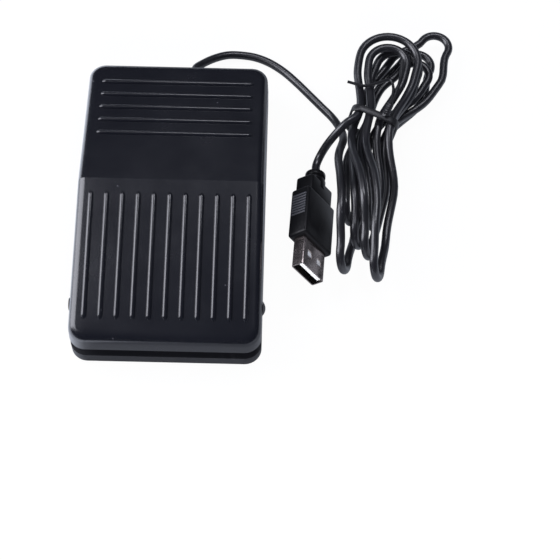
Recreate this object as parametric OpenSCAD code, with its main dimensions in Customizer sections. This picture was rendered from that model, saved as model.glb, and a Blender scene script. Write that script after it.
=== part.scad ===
// Foot pedal switch with a lead: a ribbed treadle hinged over a base tray,
// a snap switch on a small board inside, and the lead wound in a tied hank.
// Millimetres, X to the right, Y towards the cable end, Z up.
// The origin is on the floor, under the middle of the pedal.

/* [Pedal outline] */
// Width of the base and of the treadle at its skirt
pedal_w = 61; // [56:0.5:70]
// Length of the base and of the treadle at its skirt
pedal_l = 104; // [98:0.5:116]
// Radius of the upright corners
corner_r = 5.5; // [4.5:0.1:8]

/* [Treadle] */
// Height of the ridge across the treadle
ridge_z = 25.3; // [24.5:0.1:30]
// Distance of the ridge behind the middle of the pedal
ridge_y = 1.5; // [-4:0.5:5]
// Height of the treadle at its cable end
rear_z = 17.8; // [16.5:0.1:20]
// Height of the treadle at its heel end
front_z = 16.3; // [15:0.1:19]
// Height of the skirt's lower edge above the floor
skirt_z = 9.5; // [8.5:0.1:10.2]
// Thickness of the treadle's walls
treadle_wall = 2.2; // [1.6:0.1:2.6]
// Radius of the treadle's upper edges
edge_r = 2.6; // [2:0.1:3.5]
// Inward lean of the treadle's sides, in degrees
draft = 2; // [0:0.5:4]

/* [Ribs] */
// Radius of a rib's round back
rib_r = 0.9; // [0.6:0.05:1.2]
// Height of a rib above the treadle
rib_h = 0.7; // [0.4:0.05:1]
// Number of ribs that run along the heel half
long_ribs = 11; // [5:2:13]
// Distance between two ribs of the heel half
long_pitch = 5.08; // [4:0.02:5.3]
// Length of a rib of the heel half
long_rib_l = 42.5; // [30:0.5:44]
// Distance from the ridge to the ribs of the heel half
long_start = 4.4; // [2.5:0.1:6]
// Number of ribs that run across the toe half
cross_ribs = 5; // [2:1:7]
// Distance between two ribs of the toe half
cross_pitch = 5.6; // [4:0.1:6]
// Length of a rib of the toe half
cross_rib_l = 51; // [40:0.5:54]
// Distance from the cable end to the first rib of the toe half
cross_start = 8.9; // [7:0.1:12]

/* [Base tray] */
// Height of the rubber feet below the tray
foot_h = 0.8; // [0.4:0.1:2]
// Thickness of the tray's floor
floor_t = 2.2; // [1.8:0.1:3]
// Height of the tray's rim above the floor
rim_z = 5; // [4:0.1:5.6]
// Thickness of the rim
rim_t = 2; // [1.4:0.1:2.4]
// Height of the upright wall inside the skirt
upstand_z = 10.8; // [10.3:0.1:11.2]
// Thickness of the upright wall
upstand_t = 1.8; // [1.4:0.1:2.2]
// Room between the skirt and the upright wall
skirt_gap = 1.2; // [0.9:0.1:1.8]
// Radius of a rubber foot
foot_r = 5; // [3:0.25:6]
// Depth of a foot's pocket in the floor
foot_pocket = 1.2; // [0.6:0.1:1.4]
// Distance of a foot's centre from the two nearest edges
foot_inset = 10; // [8:0.5:14]

/* [Hinge] */
// Radius of the hinge axle
axle_r = 1.25; // [1:0.05:1.5]
// Distance from the heel end to the axle
axle_inset = 14.5; // [12:0.5:20]
// Height of the axle above the floor
axle_z = 12; // [11.6:0.1:12.6]
// Radius of the axle's domed head
head_r = 2.3; // [1.9:0.1:2.5]
// Height of the domed head
head_h = 0.9; // [0.8:0.1:1.8]
// Clearance round the axle
axle_clear = 0.05; // [0.02:0.01:0.09]
// Width of the ears that carry the axle
ear_w = 6; // [5:0.5:9]
// Thickness of the ears
ear_t = 3.2; // [2.5:0.1:4]

/* [Springs] */
// Mean radius of a return spring
spring_r = 3.3; // [2.8:0.1:3.6]
// Thickness of the spring wire
spring_wire = 0.9; // [0.6:0.05:1.1]
// Number of curls in a spring
spring_curls = 7; // [5:1:9]
// Distance of a spring from the middle of the pedal
spring_x = 20.2; // [19.6:0.1:21]
// Distance of the springs behind the middle of the pedal
spring_y = 24; // [14:0.5:30]
// Height of the posts that hold a spring
post_h = 2.5; // [1.5:0.1:3.5]

/* [Up stop] */
// Width of a hook
hook_w = 6; // [4:0.5:8]
// Thickness of a hook's stem
hook_t = 1.6; // [1.2:0.1:2]
// Distance of a hook's centre from the middle of the pedal
hook_x = 18; // [17:0.5:20]
// Height of a hook's barb
barb_h = 1.6; // [1.2:0.1:2]
// Thickness of the bar that a barb catches
lintel_t = 1.6; // [1.2:0.1:2]
// Room between a barb and its bar
hook_gap = 0.2; // [0.1:0.05:0.4]

/* [Controller board] */
// Radius of the capacitor
capacitor_r = 2; // [1.6:0.1:2.2]
// Height of the capacitor's can
capacitor_h = 5; // [4:0.1:5.5]
// Distance between two chip parts
chip_pitch = 1.9; // [1.6:0.1:2.2]
// Distance of the chip parts from the switch
chip_gap = 1.2; // [0.8:0.1:1.4]
// Width of the board
board_w = 30; // [28:0.5:31]
// Length of the board
board_l = 30; // [29:0.5:32]
// Thickness of the board
board_t = 1.6; // [1:0.1:2]
// Distance of the board's centre behind the middle of the pedal
board_y = 18; // [16:0.5:19]
// Height of the pillars under the board
pillar_h = 1.4; // [1:0.1:2]
// Radius of a pillar
pillar_r = 2.4; // [2:0.1:3]
// Distance of a pillar from the board's two nearest edges
pillar_inset = 3; // [2.5:0.1:3.5]
// Radius of a screw's thread
screw_r = 1.1; // [0.8:0.05:1.2]
// Radius of a screw's head
screw_head_r = 1.9; // [1.6:0.1:2.2]
// Height of a screw's head
screw_head_h = 1.2; // [0.8:0.1:1.6]

/* [Snap switch] */
// Thickness of the switch body
switch_w = 6.4; // [5.5:0.1:7]
// Length of the switch body
switch_l = 19.8; // [18:0.1:20.5]
// Height of the switch body
switch_h = 9.2; // [8.4:0.1:9.4]
// Distance from the board's front edge to the switch
switch_inset = 3; // [2:0.1:4]
// Thickness of the lever's strip
lever_t = 0.5; // [0.3:0.05:0.6]
// Width of the lever
lever_w = 4; // [3:0.1:5]
// Length of the lever from its hinge
lever_l = 13; // [12:0.1:14]
// Rise of the lever at rest, in degrees
lever_rise = 15; // [14:0.5:16]
// Distance from the front of the switch to the lever's hinge
lever_inset = 3; // [2.5:0.1:4]
// Distance from the lever's hinge to the plunger
plunger_reach = 4.5; // [4:0.1:5.5]
// Radius of the plunger
plunger_r = 0.9; // [0.7:0.05:1.1]
// Distance from the lever's hinge to where the treadle presses
press_reach = 11; // [10:0.1:11.5]
// Radius of the treadle's presser
presser_r = 1.5; // [1.2:0.1:1.8]
// Room between the presser and the lever, and between the lever and the plunger
press_gap = 0.25; // [0.15:0.05:0.4]

/* [Lead outlet] */
// Radius of the lead
cord_r = 1.4; // [1.2:0.05:1.5]
// Distance of the outlet to the right of the middle
outlet_x = 4.5; // [2:0.5:6]
// Height of the outlet above the floor
outlet_z = 6.4; // [6.2:0.1:6.8]
// Radius of the gland where it passes the wall
gland_r = 2.4; // [2.2:0.05:2.6]
// Radius of the gland's flange
gland_flange_r = 3.2; // [3:0.1:3.4]
// Length of the gland outside the upright wall
gland_l = 5; // [4:0.1:6]
// Clearance of the gland in the wall and of the lead in the gland
gland_clear = 0.05; // [0.02:0.01:0.1]
// Length of the clamp across the lead
clamp_w = 15; // [14:0.5:16]
// Width of the clamp along the lead
clamp_l = 4; // [3:0.1:5]
// Thickness of the clamp's bar above the lead
clamp_t = 1.2; // [0.8:0.1:2]

/* [Hank] */
// Number of layers of loops
hank_layers = 4; // [2:2:4]
// Turns of the lead in one layer
layer_turns = 1.5; // [0.5:1:1.5]
// Distance between two neighbouring turns
turn_step = 3.65; // [3.5:0.05:4]
// Distance between two neighbouring turns at the waist
waist_step = 3.8; // [3.7:0.05:4]
// Distance between two layers
layer_step = 3.55; // [3.5:0.05:3.8]
// Radius of the tightest fold
fold_r = 5; // [4.8:0.1:6]
// Half width of the innermost turn at the waist
waist_r = 0.95; // [0.9:0.05:1.5]

/* [Plug] */
// Width of the plug's metal shell
shell_w = 12; // [11:0.1:13]
// Thickness of the plug's metal shell
shell_h = 4.5; // [4.3:0.1:5]
// Wall of the metal shell
shell_t = 0.35; // [0.25:0.05:0.5]
// Length of the shell in front of the grip
shell_out = 11; // [10:0.1:13]
// Length of the shell inside the grip
shell_in = 6; // [4:0.1:8]
// Width of the grip
grip_w = 15.6; // [14.5:0.1:17]
// Thickness of the grip
grip_h = 7.2; // [6.8:0.1:8]
// Length of the grip's full section
grip_l = 19.5; // [17:0.1:22]
// Length of the neck behind the grip
neck_l = 6.5; // [5:0.1:8]
// Length of the collar where the lead comes in
collar_l = 4.5; // [3.5:0.1:6]
// Radius of the collar
collar_r = 3.6; // [3.2:0.1:4]

/* [Hidden] */

$fn = 48;
hull_fn = 32;
bite = 1;
slack = 0.3;

half_w = pedal_w / 2;
half_l = pedal_l / 2;
tray_z = foot_h;
floor_z = tray_z + floor_t;
upstand_inset = treadle_wall + skirt_gap;
inner_inset = upstand_inset + upstand_t;
inner_y = half_l - inner_inset;
axle_y = axle_inset - half_l;
head_x = half_w + 0.1;
// The axle's cap sits in a pocket in the treadle's left side, and the axle enters it by its depth
cap_r = head_r - 0.3;
cap_t = 1.75;
cap_depth = 0.7;
cap_x = half_w + 0.45;
axle_left = cap_x - cap_t + cap_depth;
cap_pocket_x = cap_x - cap_t - 0.05;
ear_x = half_w - upstand_inset;
ear_top = axle_z + ear_w / 2 - 0.4;

board_z = floor_z + pillar_h;
board_top = board_z + board_t;
board_front = board_y - board_l / 2;
board_rear = board_y + board_l / 2;
switch_y = board_front + switch_inset;
switch_top = board_top + switch_h;
lever_y = switch_y + lever_inset;
lever_pin_r = 0.5;
lever_z = switch_top + lever_pin_r + 0.2;
presser_y = lever_y + press_reach * cos(lever_rise);
lever_top_at_presser = lever_z + press_reach * sin(lever_rise) + lever_t / 2 / cos(lever_rise);
presser_z = lever_top_at_presser + press_gap + presser_r * (1 / cos(lever_rise) - 1) + presser_r;
plunger_y = lever_y + plunger_reach;
plunger_top = lever_z + plunger_reach * tan(lever_rise) - lever_t / 2 / cos(lever_rise) - press_gap;

gland_y = half_l - upstand_inset;
gland_tip_y = gland_y + gland_l;
cord_d = 2 * cord_r;
clamp_y = inner_y - clamp_l / 2 - 2.4;
clamp_screw_x = clamp_w / 2 - screw_head_r - 0.3;
jacket_end_y = clamp_y - clamp_l / 2 - 2;
chip_size = [2, 1.2, 0.6];
header_w = 10;
header_l = 5;
header_h = 6;
header_gap = 1.8;
header_y = switch_y + switch_l + header_gap + header_l / 2;
core_r = 0.45;
core_pitch = 2;

// Height of the treadle's outer surface at a distance y from the middle
function roof_z(y) = y > ridge_y
    ? ridge_z + (rear_z - ridge_z) * (y - ridge_y) / (half_l - edge_r - ridge_y)
    : ridge_z + (front_z - ridge_z) * (ridge_y - y) / (half_l - edge_r + ridge_y);
function ceiling_z(y) = roof_z(y) - treadle_wall;
function lean(z) = (z - skirt_z) * tan(draft);

// Curve helpers: s-shaped blend from 0 to 1, and mixing of two values
function smooth(a) = let (c = min(1, max(0, a))) c * c * (3 - 2 * c);
function mix(a, b, k) = a + (b - a) * k;
function unit(v) = v / norm(v);

// Places on the lead's way from the gland to the hank, on the floor
lead_way = [
    [5, 58.2, 6], [7.1, 60.9, 4.8], [11.4, 64.7, 3], [15.8, 66.8, 2], [20.4, 67.2, 1.5],
    [25.4, 66.4, 1.5], [30.4, 64.3, 1.5], [35.5, 60.7, 1.5], [40, 56.3, 1.5], [44.5, 51.3, 1.5],
    [49, 46.2, 1.5], [52.8, 41.8, 1.6], [54.9, 37.8, 2.7], [56.2, 33.4, 4.7]
];
// Places on the lead's way from the hank to the plug
tail_way = [
    [60.1, 33.2, 15.8], [57.2, 30.8, 15.9], [54.6, 28.6, 14.3], [52.2, 26.8, 11.7], [50.1, 25, 8.8],
    [48.4, 22.7, 6.5]
];
// Places on the twist tie's knot and on its two ends, which lie on the loops
tie_knot_way = [[70.2, 33.3, 17.2], [71, 35.8, 17], [71.9, 38.2, 16.5]];
tie_long_way = [
    [71.6, 37.3, 16.4], [72.6, 41.6, 15.9], [73, 46, 15.2], [72, 49.1, 14.9], [68.2, 47.9, 14.9],
    [63.5, 46.4, 14.9], [57.5, 48, 14.8]
];
tie_short_way = [[71.5, 37, 16.3], [74, 43.6, 15.6], [75.6, 50.5, 14.9], [76.3, 57.7, 14.7]];
tie_end_r = 0.5;
tie_knot_r = 1;
tie_band_w = 2.6;
tie_band_t = 0.7;
tie_gap = 0.7;

// The hank: its waist on the floor, the lean of its loops there, and for each loop in turn
// its lean, the length of its straight part and the radius of its fold
waist_at = [67, 34];
waist_lean = 19;
far_lean = [27, 31, 31, 19, 11, 11];
far_run = [34, 28, 42, 25, 24.2, 25.4];
far_fold_r = [for (more = [0.2, 0, 0, 2.4, 1.6, 5.1]) fold_r + more];
near_lean = [6, 6, 5.8, 5.5, 5.3, 5.3];
near_run = [52, 34, 43, 47, 36, 55];
// Lengths over which the loops open from the waist, close to their folds and take their leans
far_open = 20;
near_open = 34;
close_l = 12;
far_bend = 24;
near_bend = 26;
// Tilt of the near end's loops, the place along the hank where it starts, its length and its lift
near_tilt = -74;
tilt_from = 10;
tilt_l = 50;
tilt_lift = 6.4;
hank_floor = 1.5;
waist_lift = 1.5;
lift_l = 15;
// Turns that a climb to the next layer takes, among the innermost and among the outermost loops
inner_climb = 0.25;
outer_climb = 0.1;
hank_turns = hank_layers * layer_turns;
hank_start = 0.032;
hank_end = hank_turns - 0.025;
loop_rings = 60;

function turns_in(t) = let (m = t % (2 * layer_turns)) m < layer_turns ? m : 2 * layer_turns - m;
function layers_up(t, k = 1) = k >= hank_layers ? 0
    : smooth((t - k * layer_turns) / (k % 2 == 0 ? outer_climb : inner_climb) + 0.5) + layers_up(t, k + 1);

// Half width of a loop at a distance l from the waist, where its straight part ends at run
function half_w(l, run, out, fold, open) =
    let (wide = mix(waist_r + out * waist_step, fold_r + out * turn_step, smooth(l / open)))
    mix(wide, fold, smooth((l - run) / close_l + 1));

// A point of the hank in its own plane: sideways, lengthways
function hank_flat(t) =
    let (n = floor(t), f = t - n, out = layer_turns - turns_in(t),
         far = far_run[n], near = near_run[n], far_r = far_fold_r[n])
    f < 1/6 ? let (l = near * f * 6) [-half_w(l, near, out, fold_r, near_open), -l]
    : f < 1/3 ? let (a = 180 + (f - 1/6) * 1080) [fold_r * cos(a), fold_r * sin(a) - near]
    : f < 1/2 ? let (l = near * (1/2 - f) * 6) [half_w(l, near, out, fold_r, near_open), -l]
    : f < 2/3 ? let (l = far * (f - 1/2) * 6) [half_w(l, far, out, far_r, far_open), l]
    : f < 5/6 ? let (a = (f - 2/3) * 1080) [far_r * cos(a), far_r * sin(a) + far]
    : let (l = far * (1 - f) * 6) [-half_w(l, far, out, far_r, far_open), l];

// Tilt of the hank about its length, and the height of its middle, at a place l along it
function hank_tilt(l) = near_tilt * smooth((tilt_from - l) / tilt_l);
function hank_mid(l) = hank_floor + (hank_layers - 1) / 2 * layer_step
    + waist_lift * (1 - smooth(abs(l) / lift_l)) + tilt_lift * abs(sin(hank_tilt(l)));

// The same point on the floor, stacked, tilted and leaned
function hank_point(t) =
    let (p = hank_flat(t),
         l = p[1],
         up = (layers_up(t) - (hank_layers - 1) / 2) * layer_step,
         tilt = hank_tilt(l),
         x = p[0] * cos(tilt) - up * sin(tilt),
         a = l > 0 ? mix(waist_lean, far_lean[floor(t)], smooth(l / far_bend))
             : mix(waist_lean, near_lean[floor(t)], smooth(-l / near_bend)))
    [waist_at[0] + x * cos(a) + l * sin(a), waist_at[1] - x * sin(a) + l * cos(a),
     hank_mid(l) + p[0] * sin(tilt) + up * cos(tilt)];
function hank_way(n) = [for (i = [0 : n]) hank_point(mix(hank_start, hank_end, i / n))];

hank_first = hank_point(hank_start);
hank_rings = loop_rings * hank_turns;
hank_ring_t = (hank_end - hank_start) / hank_rings;
hank_first_dir = unit(hank_point(hank_start + hank_ring_t) - hank_first);
hank_last = hank_point(hank_end);
hank_last_dir = unit(hank_last - hank_point(hank_end - hank_ring_t));

// Place of the plug: the middle of its mouth, and its turn, tilt and roll
plug_at = [44.7, -25.3, 13.1];
plug_turn = -3.3;
plug_tilt = -9;
plug_roll = 54;
grip_y = shell_out;
neck_y = grip_y + grip_l;
collar_y = neck_y + neck_l;
plug_end_y = collar_y + collar_l;
plug_dir = [-sin(plug_turn) * cos(plug_tilt), cos(plug_turn) * cos(plug_tilt), sin(plug_tilt)];
plug_end = plug_at + plug_end_y * plug_dir;

// Whole routes, with straight ends square to what they meet
lead_start_y = gland_y - upstand_t / 2;
lead_route = concat(
    [[outlet_x, lead_start_y, outlet_z], [outlet_x, gland_tip_y, outlet_z], [outlet_x, gland_tip_y + 1.5, outlet_z]],
    lead_way,
    [hank_first - cord_d * hank_first_dir, hank_first]);
tail_route = concat(
    [hank_last, hank_last + cord_d * hank_last_dir],
    tail_way,
    [plug_end + 1.5 * cord_d * plug_dir, plug_end + cord_d / 2 * plug_dir, plug_end]);

// A round tube swept along points, of even sides, closed at both ends, in triangles
function end_dir(p, i) = i == 0 ? unit(p[1] - p[0])
    : i == len(p) - 1 ? unit(p[i] - p[i - 1])
    : unit(unit(p[i + 1] - p[i]) + unit(p[i] - p[i - 1]));
function side_of(d) = unit(cross(d, [0, 0, 1]));
function ring(p, d, r, sides) =
    let (x = side_of(d), y = cross(x, d))
    [for (k = [0 : sides - 1]) let (a = 360 * (k + 0.5) / sides) p + r * (cos(a) * x + sin(a) * y)];
module tube(p, r, sides) {
    n = len(p);
    points = [for (i = [0 : n - 1]) each ring(p[i], end_dir(p, i), r, sides)];
    wall = [for (i = [0 : n - 2], k = [0 : sides - 1])
        let (a = i * sides + k, b = i * sides + (k + 1) % sides)
        each [[a, b, a + sides], [b, b + sides, a + sides]]];
    first = [for (k = [1 : sides - 2]) [0, k + 1, k]];
    last = [for (k = [1 : sides - 2]) let (e = (n - 1) * sides) [e, e + k, e + k + 1]];
    polyhedron(points, concat(wall, first, last));
}

// Distance from a point to a stretch of line
function off_line(p, a, b) =
    let (d = b - a, k = min(1, max(0, (p - a) * d / (d * d))))
    norm(p - a - k * d);
// Least gap between a tube's stretches that are not neighbours
function least_gap(p, r, skip) =
    min([for (i = [0 : len(p) - 1 - skip], j = [i + skip : len(p) - 2]) off_line(p[i], p[j], p[j + 1])]) - 2 * r;
function way_length(p) = [for (i = 0, s = 0; i < len(p); s = s + (i < len(p) - 1 ? norm(p[i + 1] - p[i]) : 0), i = i + 1) s][len(p) - 1];

// Rectangle with round corners, of exact arcs
module round_rect(w, l, r) {
    square([w - 2 * r, l], center = true);
    square([w, l - 2 * r], center = true);
    for (sx = [-1, 1], sy = [-1, 1]) translate([sx * (w / 2 - r), sy * (l / 2 - r)]) circle(r);
}
// The pedal's plan, drawn in by a distance
module plan(inset) {
    round_rect(pedal_w - 2 * inset, pedal_l - 2 * inset, max(corner_r - inset, 0.6));
}
module across(x, y, z) {
    translate([x, y, z]) rotate([0, 90, 0]) children();
}
module along(x, y, z) {
    translate([x, y, z]) rotate([-90, 0, 0]) children();
}
module both_sides() {
    children();
    mirror([1, 0, 0]) children();
}

// The ridged block that bounds the treadle, drawn in by a distance all round
module roof_block(inset, low) {
    f = max(edge_r - inset, 0.5);
    r = max(corner_r - inset, f + 0.3);
    hull() both_sides() {
        for (end = [[1, rear_z], [-1, front_z]])
            translate([half_w - inset - lean(end[1]) - r, end[0] * (half_l - inset - lean(end[1]) - r), end[1] - inset - f])
                rotate_extrude($fn = hull_fn) translate([r - f, 0]) circle(f);
        translate([half_w - inset - lean(ridge_z) - f, ridge_y, ridge_z - inset - f]) sphere(f, $fn = hull_fn);
        for (sy = [-1, 1])
            translate([half_w - inset - r, sy * (half_l - inset - r), low]) cylinder(r = r, h = bite, $fn = hull_fn);
    }
}

// A rib: a bar with tapered ends, drawn from the origin along +Z
module rib(length) {
    taper = 1.2;
    tip_r = rib_r * 0.5;
    cylinder(r1 = tip_r, r2 = rib_r, h = taper);
    translate([0, 0, taper]) cylinder(r = rib_r, h = length - 2 * taper);
    translate([0, 0, length - taper]) cylinder(r1 = rib_r, r2 = tip_r, h = taper);
}

module treadle_ribs() {
    sink = rib_r - rib_h;
    heel_slope = atan((ridge_z - front_z) / (half_l - edge_r + ridge_y));
    y0 = ridge_y - long_start;
    for (i = [0 : long_ribs - 1])
        translate([(i - (long_ribs - 1) / 2) * long_pitch, y0, roof_z(y0) - sink])
            rotate([90 + heel_slope, 0, 0]) rib(long_rib_l);
    for (i = [0 : cross_ribs - 1]) {
        y = half_l - cross_start - i * cross_pitch;
        across(-cross_rib_l / 2, y, roof_z(y) - sink) rib(cross_rib_l);
    }
}

barb_top = upstand_z - lintel_t - hook_gap;
hook_y = inner_y - 0.4;
module hook() {
    top = ceiling_z(hook_y) + treadle_wall / 2;
    translate([hook_x - hook_w / 2, hook_y - hook_t, barb_top - barb_h]) {
        cube([hook_w, hook_t, top - barb_top + barb_h]);
        cube([hook_w, hook_t + upstand_t, barb_h]);
    }
}

module spring_post(z0, z1) {
    translate([spring_x, spring_y, z0]) cylinder(r = spring_r - spring_wire / 2 - 0.35, h = z1 - z0);
}

module presser() {
    top = ceiling_z(presser_y) + treadle_wall / 2;
    across(-lever_w / 2 - 0.5, presser_y, presser_z) cylinder(r = presser_r, h = lever_w + 1);
    translate([-lever_w / 2 - 0.5, presser_y - presser_r, presser_z]) cube([lever_w + 1, 2 * presser_r, top - presser_z]);
}

// Ribbed cover that the foot presses
module treadle() {
    notch_r = gland_flange_r + 0.8;
    notch_z = skirt_z + 0.4;
    color([0.13, 0.14, 0.16]) {
        difference() {
            union() {
                roof_block(0, skirt_z);
                treadle_ribs();
            }
            difference() {
                roof_block(treadle_wall, skirt_z - bite);
                translate([-half_w, -half_l, ridge_z]) cube([pedal_w, pedal_l, bite]);
            }
            across(-pedal_w, axle_y, axle_z) cylinder(r = axle_r + axle_clear, h = 2 * pedal_w);
            across(-pedal_w, axle_y, axle_z) cylinder(r = cap_r + 0.3, h = pedal_w - cap_pocket_x);
            along(outlet_x, half_l - treadle_wall - bite, notch_z) cylinder(r = notch_r, h = treadle_wall + 2 * bite);
        }
        both_sides() {
            hook();
            post_top = ceiling_z(spring_y) + treadle_wall / 2;
            spring_post(spring_top - post_h, post_top);
        }
        presser();
    }
}

// Tray that carries everything
module base_tray() {
    color([0.16, 0.17, 0.19]) difference() {
        union() {
            translate([0, 0, tray_z]) linear_extrude(floor_t) plan(0);
            translate([0, 0, tray_z]) linear_extrude(rim_z - tray_z) difference() {
                plan(0);
                plan(rim_t);
            }
            translate([0, 0, tray_z]) linear_extrude(upstand_z - tray_z) difference() {
                plan(upstand_inset);
                plan(inner_inset);
            }
            both_sides() {
                axle_ear();
                spring_post(tray_z + floor_t / 2, floor_z + post_h);
            }
            board_pillars(pillar_r, floor_z - floor_t / 2, pillar_h + floor_t / 2);
            clamp_saddle();
        }
        for (sx = [-1, 1], sy = [-1, 1])
            translate([sx * (half_w - foot_inset), sy * (half_l - foot_inset), tray_z - bite])
                cylinder(r = foot_r + slack / 2, h = foot_pocket + bite);
        across(-pedal_w, axle_y, axle_z) cylinder(r = axle_r + axle_clear, h = 2 * pedal_w);
        along(outlet_x, inner_y - bite, outlet_z) cylinder(r = gland_r + gland_clear, h = inner_inset + 2 * bite);
        along(outlet_x, clamp_y - clamp_l, outlet_z) cylinder(r = cord_r + gland_clear, h = 2 * clamp_l);
        both_sides() translate([hook_x - hook_w / 2 - 0.6, inner_y - 0.2, floor_z])
            cube([hook_w + 1.2, upstand_t + 0.4, upstand_z - lintel_t - floor_z]);
        board_pillars(screw_r, tray_z + floor_t / 2, floor_t + pillar_h);
        for (sx = [-1, 1])
            translate([outlet_x + sx * clamp_screw_x, clamp_y, tray_z + floor_t / 2]) cylinder(r = screw_r, h = outlet_z);
    }
}

// Ear beside the upright wall that carries the axle
module axle_ear() {
    translate([ear_x - ear_t, axle_y - ear_w / 2, floor_z - floor_t / 2])
        cube([ear_t, ear_w, axle_z - floor_z + floor_t / 2]);
    across(ear_x - ear_t, axle_y, axle_z) cylinder(r = ear_w / 2 - 0.4, h = ear_t);
}

// Round pieces at the board's four corners, from one height up
module board_pillars(r, z, h) {
    for (sx = [-1, 1], sy = [-1, 1])
        translate([sx * (board_w / 2 - pillar_inset), board_y + sy * (board_l / 2 - pillar_inset), z])
            cylinder(r = r, h = h);
}

saddle_top = outlet_z - slack / 2;
module clamp_saddle() {
    translate([outlet_x - clamp_w / 2, clamp_y - clamp_l / 2, floor_z - floor_t / 2])
        cube([clamp_w, clamp_l, saddle_top - floor_z + floor_t / 2]);
}

// Four round feet in their pockets
module rubber_feet() {
    color([0.07, 0.07, 0.07]) for (sx = [-1, 1], sy = [-1, 1])
        translate([sx * (half_w - foot_inset), sy * (half_l - foot_inset), 0]) {
            cylinder(r1 = foot_r - 0.4, r2 = foot_r, h = foot_h);
            translate([0, 0, foot_h]) cylinder(r = foot_r, h = foot_pocket);
        }
}

// Low dome with its flat face at the origin, rising along +Z
module dome(r, h) {
    ball = (r * r + h * h) / (2 * h);
    intersection() {
        translate([0, 0, h - ball]) sphere(ball);
        cylinder(r = r, h = h);
    }
}

// Steel axle with a domed head on the right, which it enters by half the head's height
module hinge_axle() {
    color([0.2, 0.2, 0.21]) {
        across(-axle_left, axle_y, axle_z) cylinder(r = axle_r, h = axle_left + head_x + head_h / 2);
        across(head_x, axle_y, axle_z) dome(head_r, head_h);
    }
}

// Push-on cap at the axle's left end
module axle_cap() {
    color([0.2, 0.2, 0.21]) difference() {
        across(-cap_x, axle_y, axle_z) cylinder(r = cap_r, h = cap_t);
        across(-axle_left, axle_y, axle_z) cylinder(r = axle_r, h = cap_depth + bite);
    }
}

spring_bottom = floor_z;
spring_top = ceiling_z(spring_y);
// Way of one spring, close wound at its two ends
function spring_way() =
    let (n = spring_curls * 8, h = spring_top - spring_bottom - spring_wire - 2 * 0.05 - lift_of_slope)
    [for (i = [0 : n])
        [spring_x + spring_r * cos(i * 45), spring_y + spring_r * sin(i * 45),
         spring_bottom + spring_wire / 2 + 0.05 + h * i / n]];
lift_of_slope = spring_r * (ridge_z - rear_z) / (half_l - edge_r - ridge_y);
// Two springs that lift the treadle
module return_springs() {
    color([0.7, 0.71, 0.73]) both_sides() tube(spring_way(), spring_wire / 2, 6);
}

module controller_board() {
    color([0.05, 0.3, 0.16]) difference() {
        translate([-board_w / 2, board_front, board_z]) cube([board_w, board_l, board_t]);
        board_pillars(screw_r + 0.1, board_z - bite, board_t + 2 * bite);
        switch_pin_places() cylinder(r = pin_hole_r, h = board_t + 4 * bite, center = true);
    }
}

// Pan head screw whose head sits at the origin, with its thread below
module screw(length) {
    cylinder(r = screw_head_r, h = screw_head_h * 0.6);
    translate([0, 0, screw_head_h * 0.6]) cylinder(r1 = screw_head_r, r2 = screw_head_r * 0.7, h = screw_head_h * 0.4);
    translate([0, 0, -length]) cylinder(r = screw_r, h = length);
}
module board_screws() {
    length = board_t + pillar_h + floor_t / 2 - slack;
    color([0.75, 0.75, 0.76]) for (sx = [-1, 1], sy = [-1, 1])
        translate([sx * (board_w / 2 - pillar_inset), board_y + sy * (board_l / 2 - pillar_inset), board_top])
            screw(length);
}

chip_w = 6;
chip_h = 1.4;
chip_lead = 0.9;
// Controller in a flat package with leads on two sides
module controller_chip() {
    x = board_w / 2 - pillar_inset - 1.5;
    color([0.08, 0.08, 0.09]) translate([x - chip_w / 2, board_y - chip_w, board_top]) {
        translate([-chip_w / 2, 0, 0.1]) cube([chip_w, chip_w * 1.6, chip_h]);
        for (i = [0 : 6], s = [-1, 1])
            translate([s * (chip_w / 2 + chip_lead / 2) - chip_lead / 2 - s * 0.1, 0.6 + i * 1.27, 0])
                cube([chip_lead, 0.45, 0.5]);
    }
}

crystal_l = 10.5;
crystal_w = 4.4;
crystal_h = 3.2;
module crystal_can() {
    x = -board_w / 2 + pillar_inset + 2.2;
    color([0.75, 0.76, 0.78]) translate([x, board_y - 2, board_top]) {
        linear_extrude(0.4) round_rect(crystal_w + 0.6, crystal_l + 0.6, crystal_w / 2);
        linear_extrude(crystal_h) round_rect(crystal_w, crystal_l, crystal_w / 2 - 0.1);
    }
}

module filter_capacitor() {
    color([0.15, 0.16, 0.3]) translate([-board_w / 2 + pillar_inset + 4.4, board_rear - pillar_inset - 4, board_top]) {
        cylinder(r = capacitor_r, h = capacitor_h);
        translate([0, 0, capacitor_h]) cylinder(r1 = capacitor_r, r2 = capacitor_r - 0.3, h = 0.4);
    }
}

// Six small chip parts in two rows
module chip_resistors() {
    color([0.55, 0.45, 0.33]) for (i = [0 : 2], s = [0, 1])
        translate([s * (switch_w + 2 * chip_gap + chip_size[0]) - switch_w / 2 - chip_gap - chip_size[0],
                   board_front + 1 + i * chip_pitch, board_top]) cube(chip_size);
}

// Socket on the board for the lead's four cores
module core_header() {
    color([0.9, 0.88, 0.82]) difference() {
        translate([outlet_x - header_w / 2, header_y - header_l / 2, board_top]) cube([header_w, header_l, header_h]);
        core_places() along(0, -2, 0) cylinder(r = core_r + 0.05, h = 4);
    }
}
core_z = board_top + header_h / 2;
core_end_y = header_y + header_l / 2 - 1;
module core_places() {
    for (i = [0 : 3]) translate([outlet_x + (i - 1.5) * core_pitch, header_y + header_l / 2, core_z]) children();
}

pin_hole_r = 0.7;
pin_r = 0.6;
module switch_pin_places() {
    for (i = [0 : 2]) translate([0, switch_y + switch_l * (0.13 + 0.37 * i), board_z]) children();
}
module switch_pins() {
    color([0.8, 0.7, 0.4]) switch_pin_places() translate([0, 0, -pillar_h / 2]) cylinder(r = pin_r, h = pillar_h / 2 + board_t);
}

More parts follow.
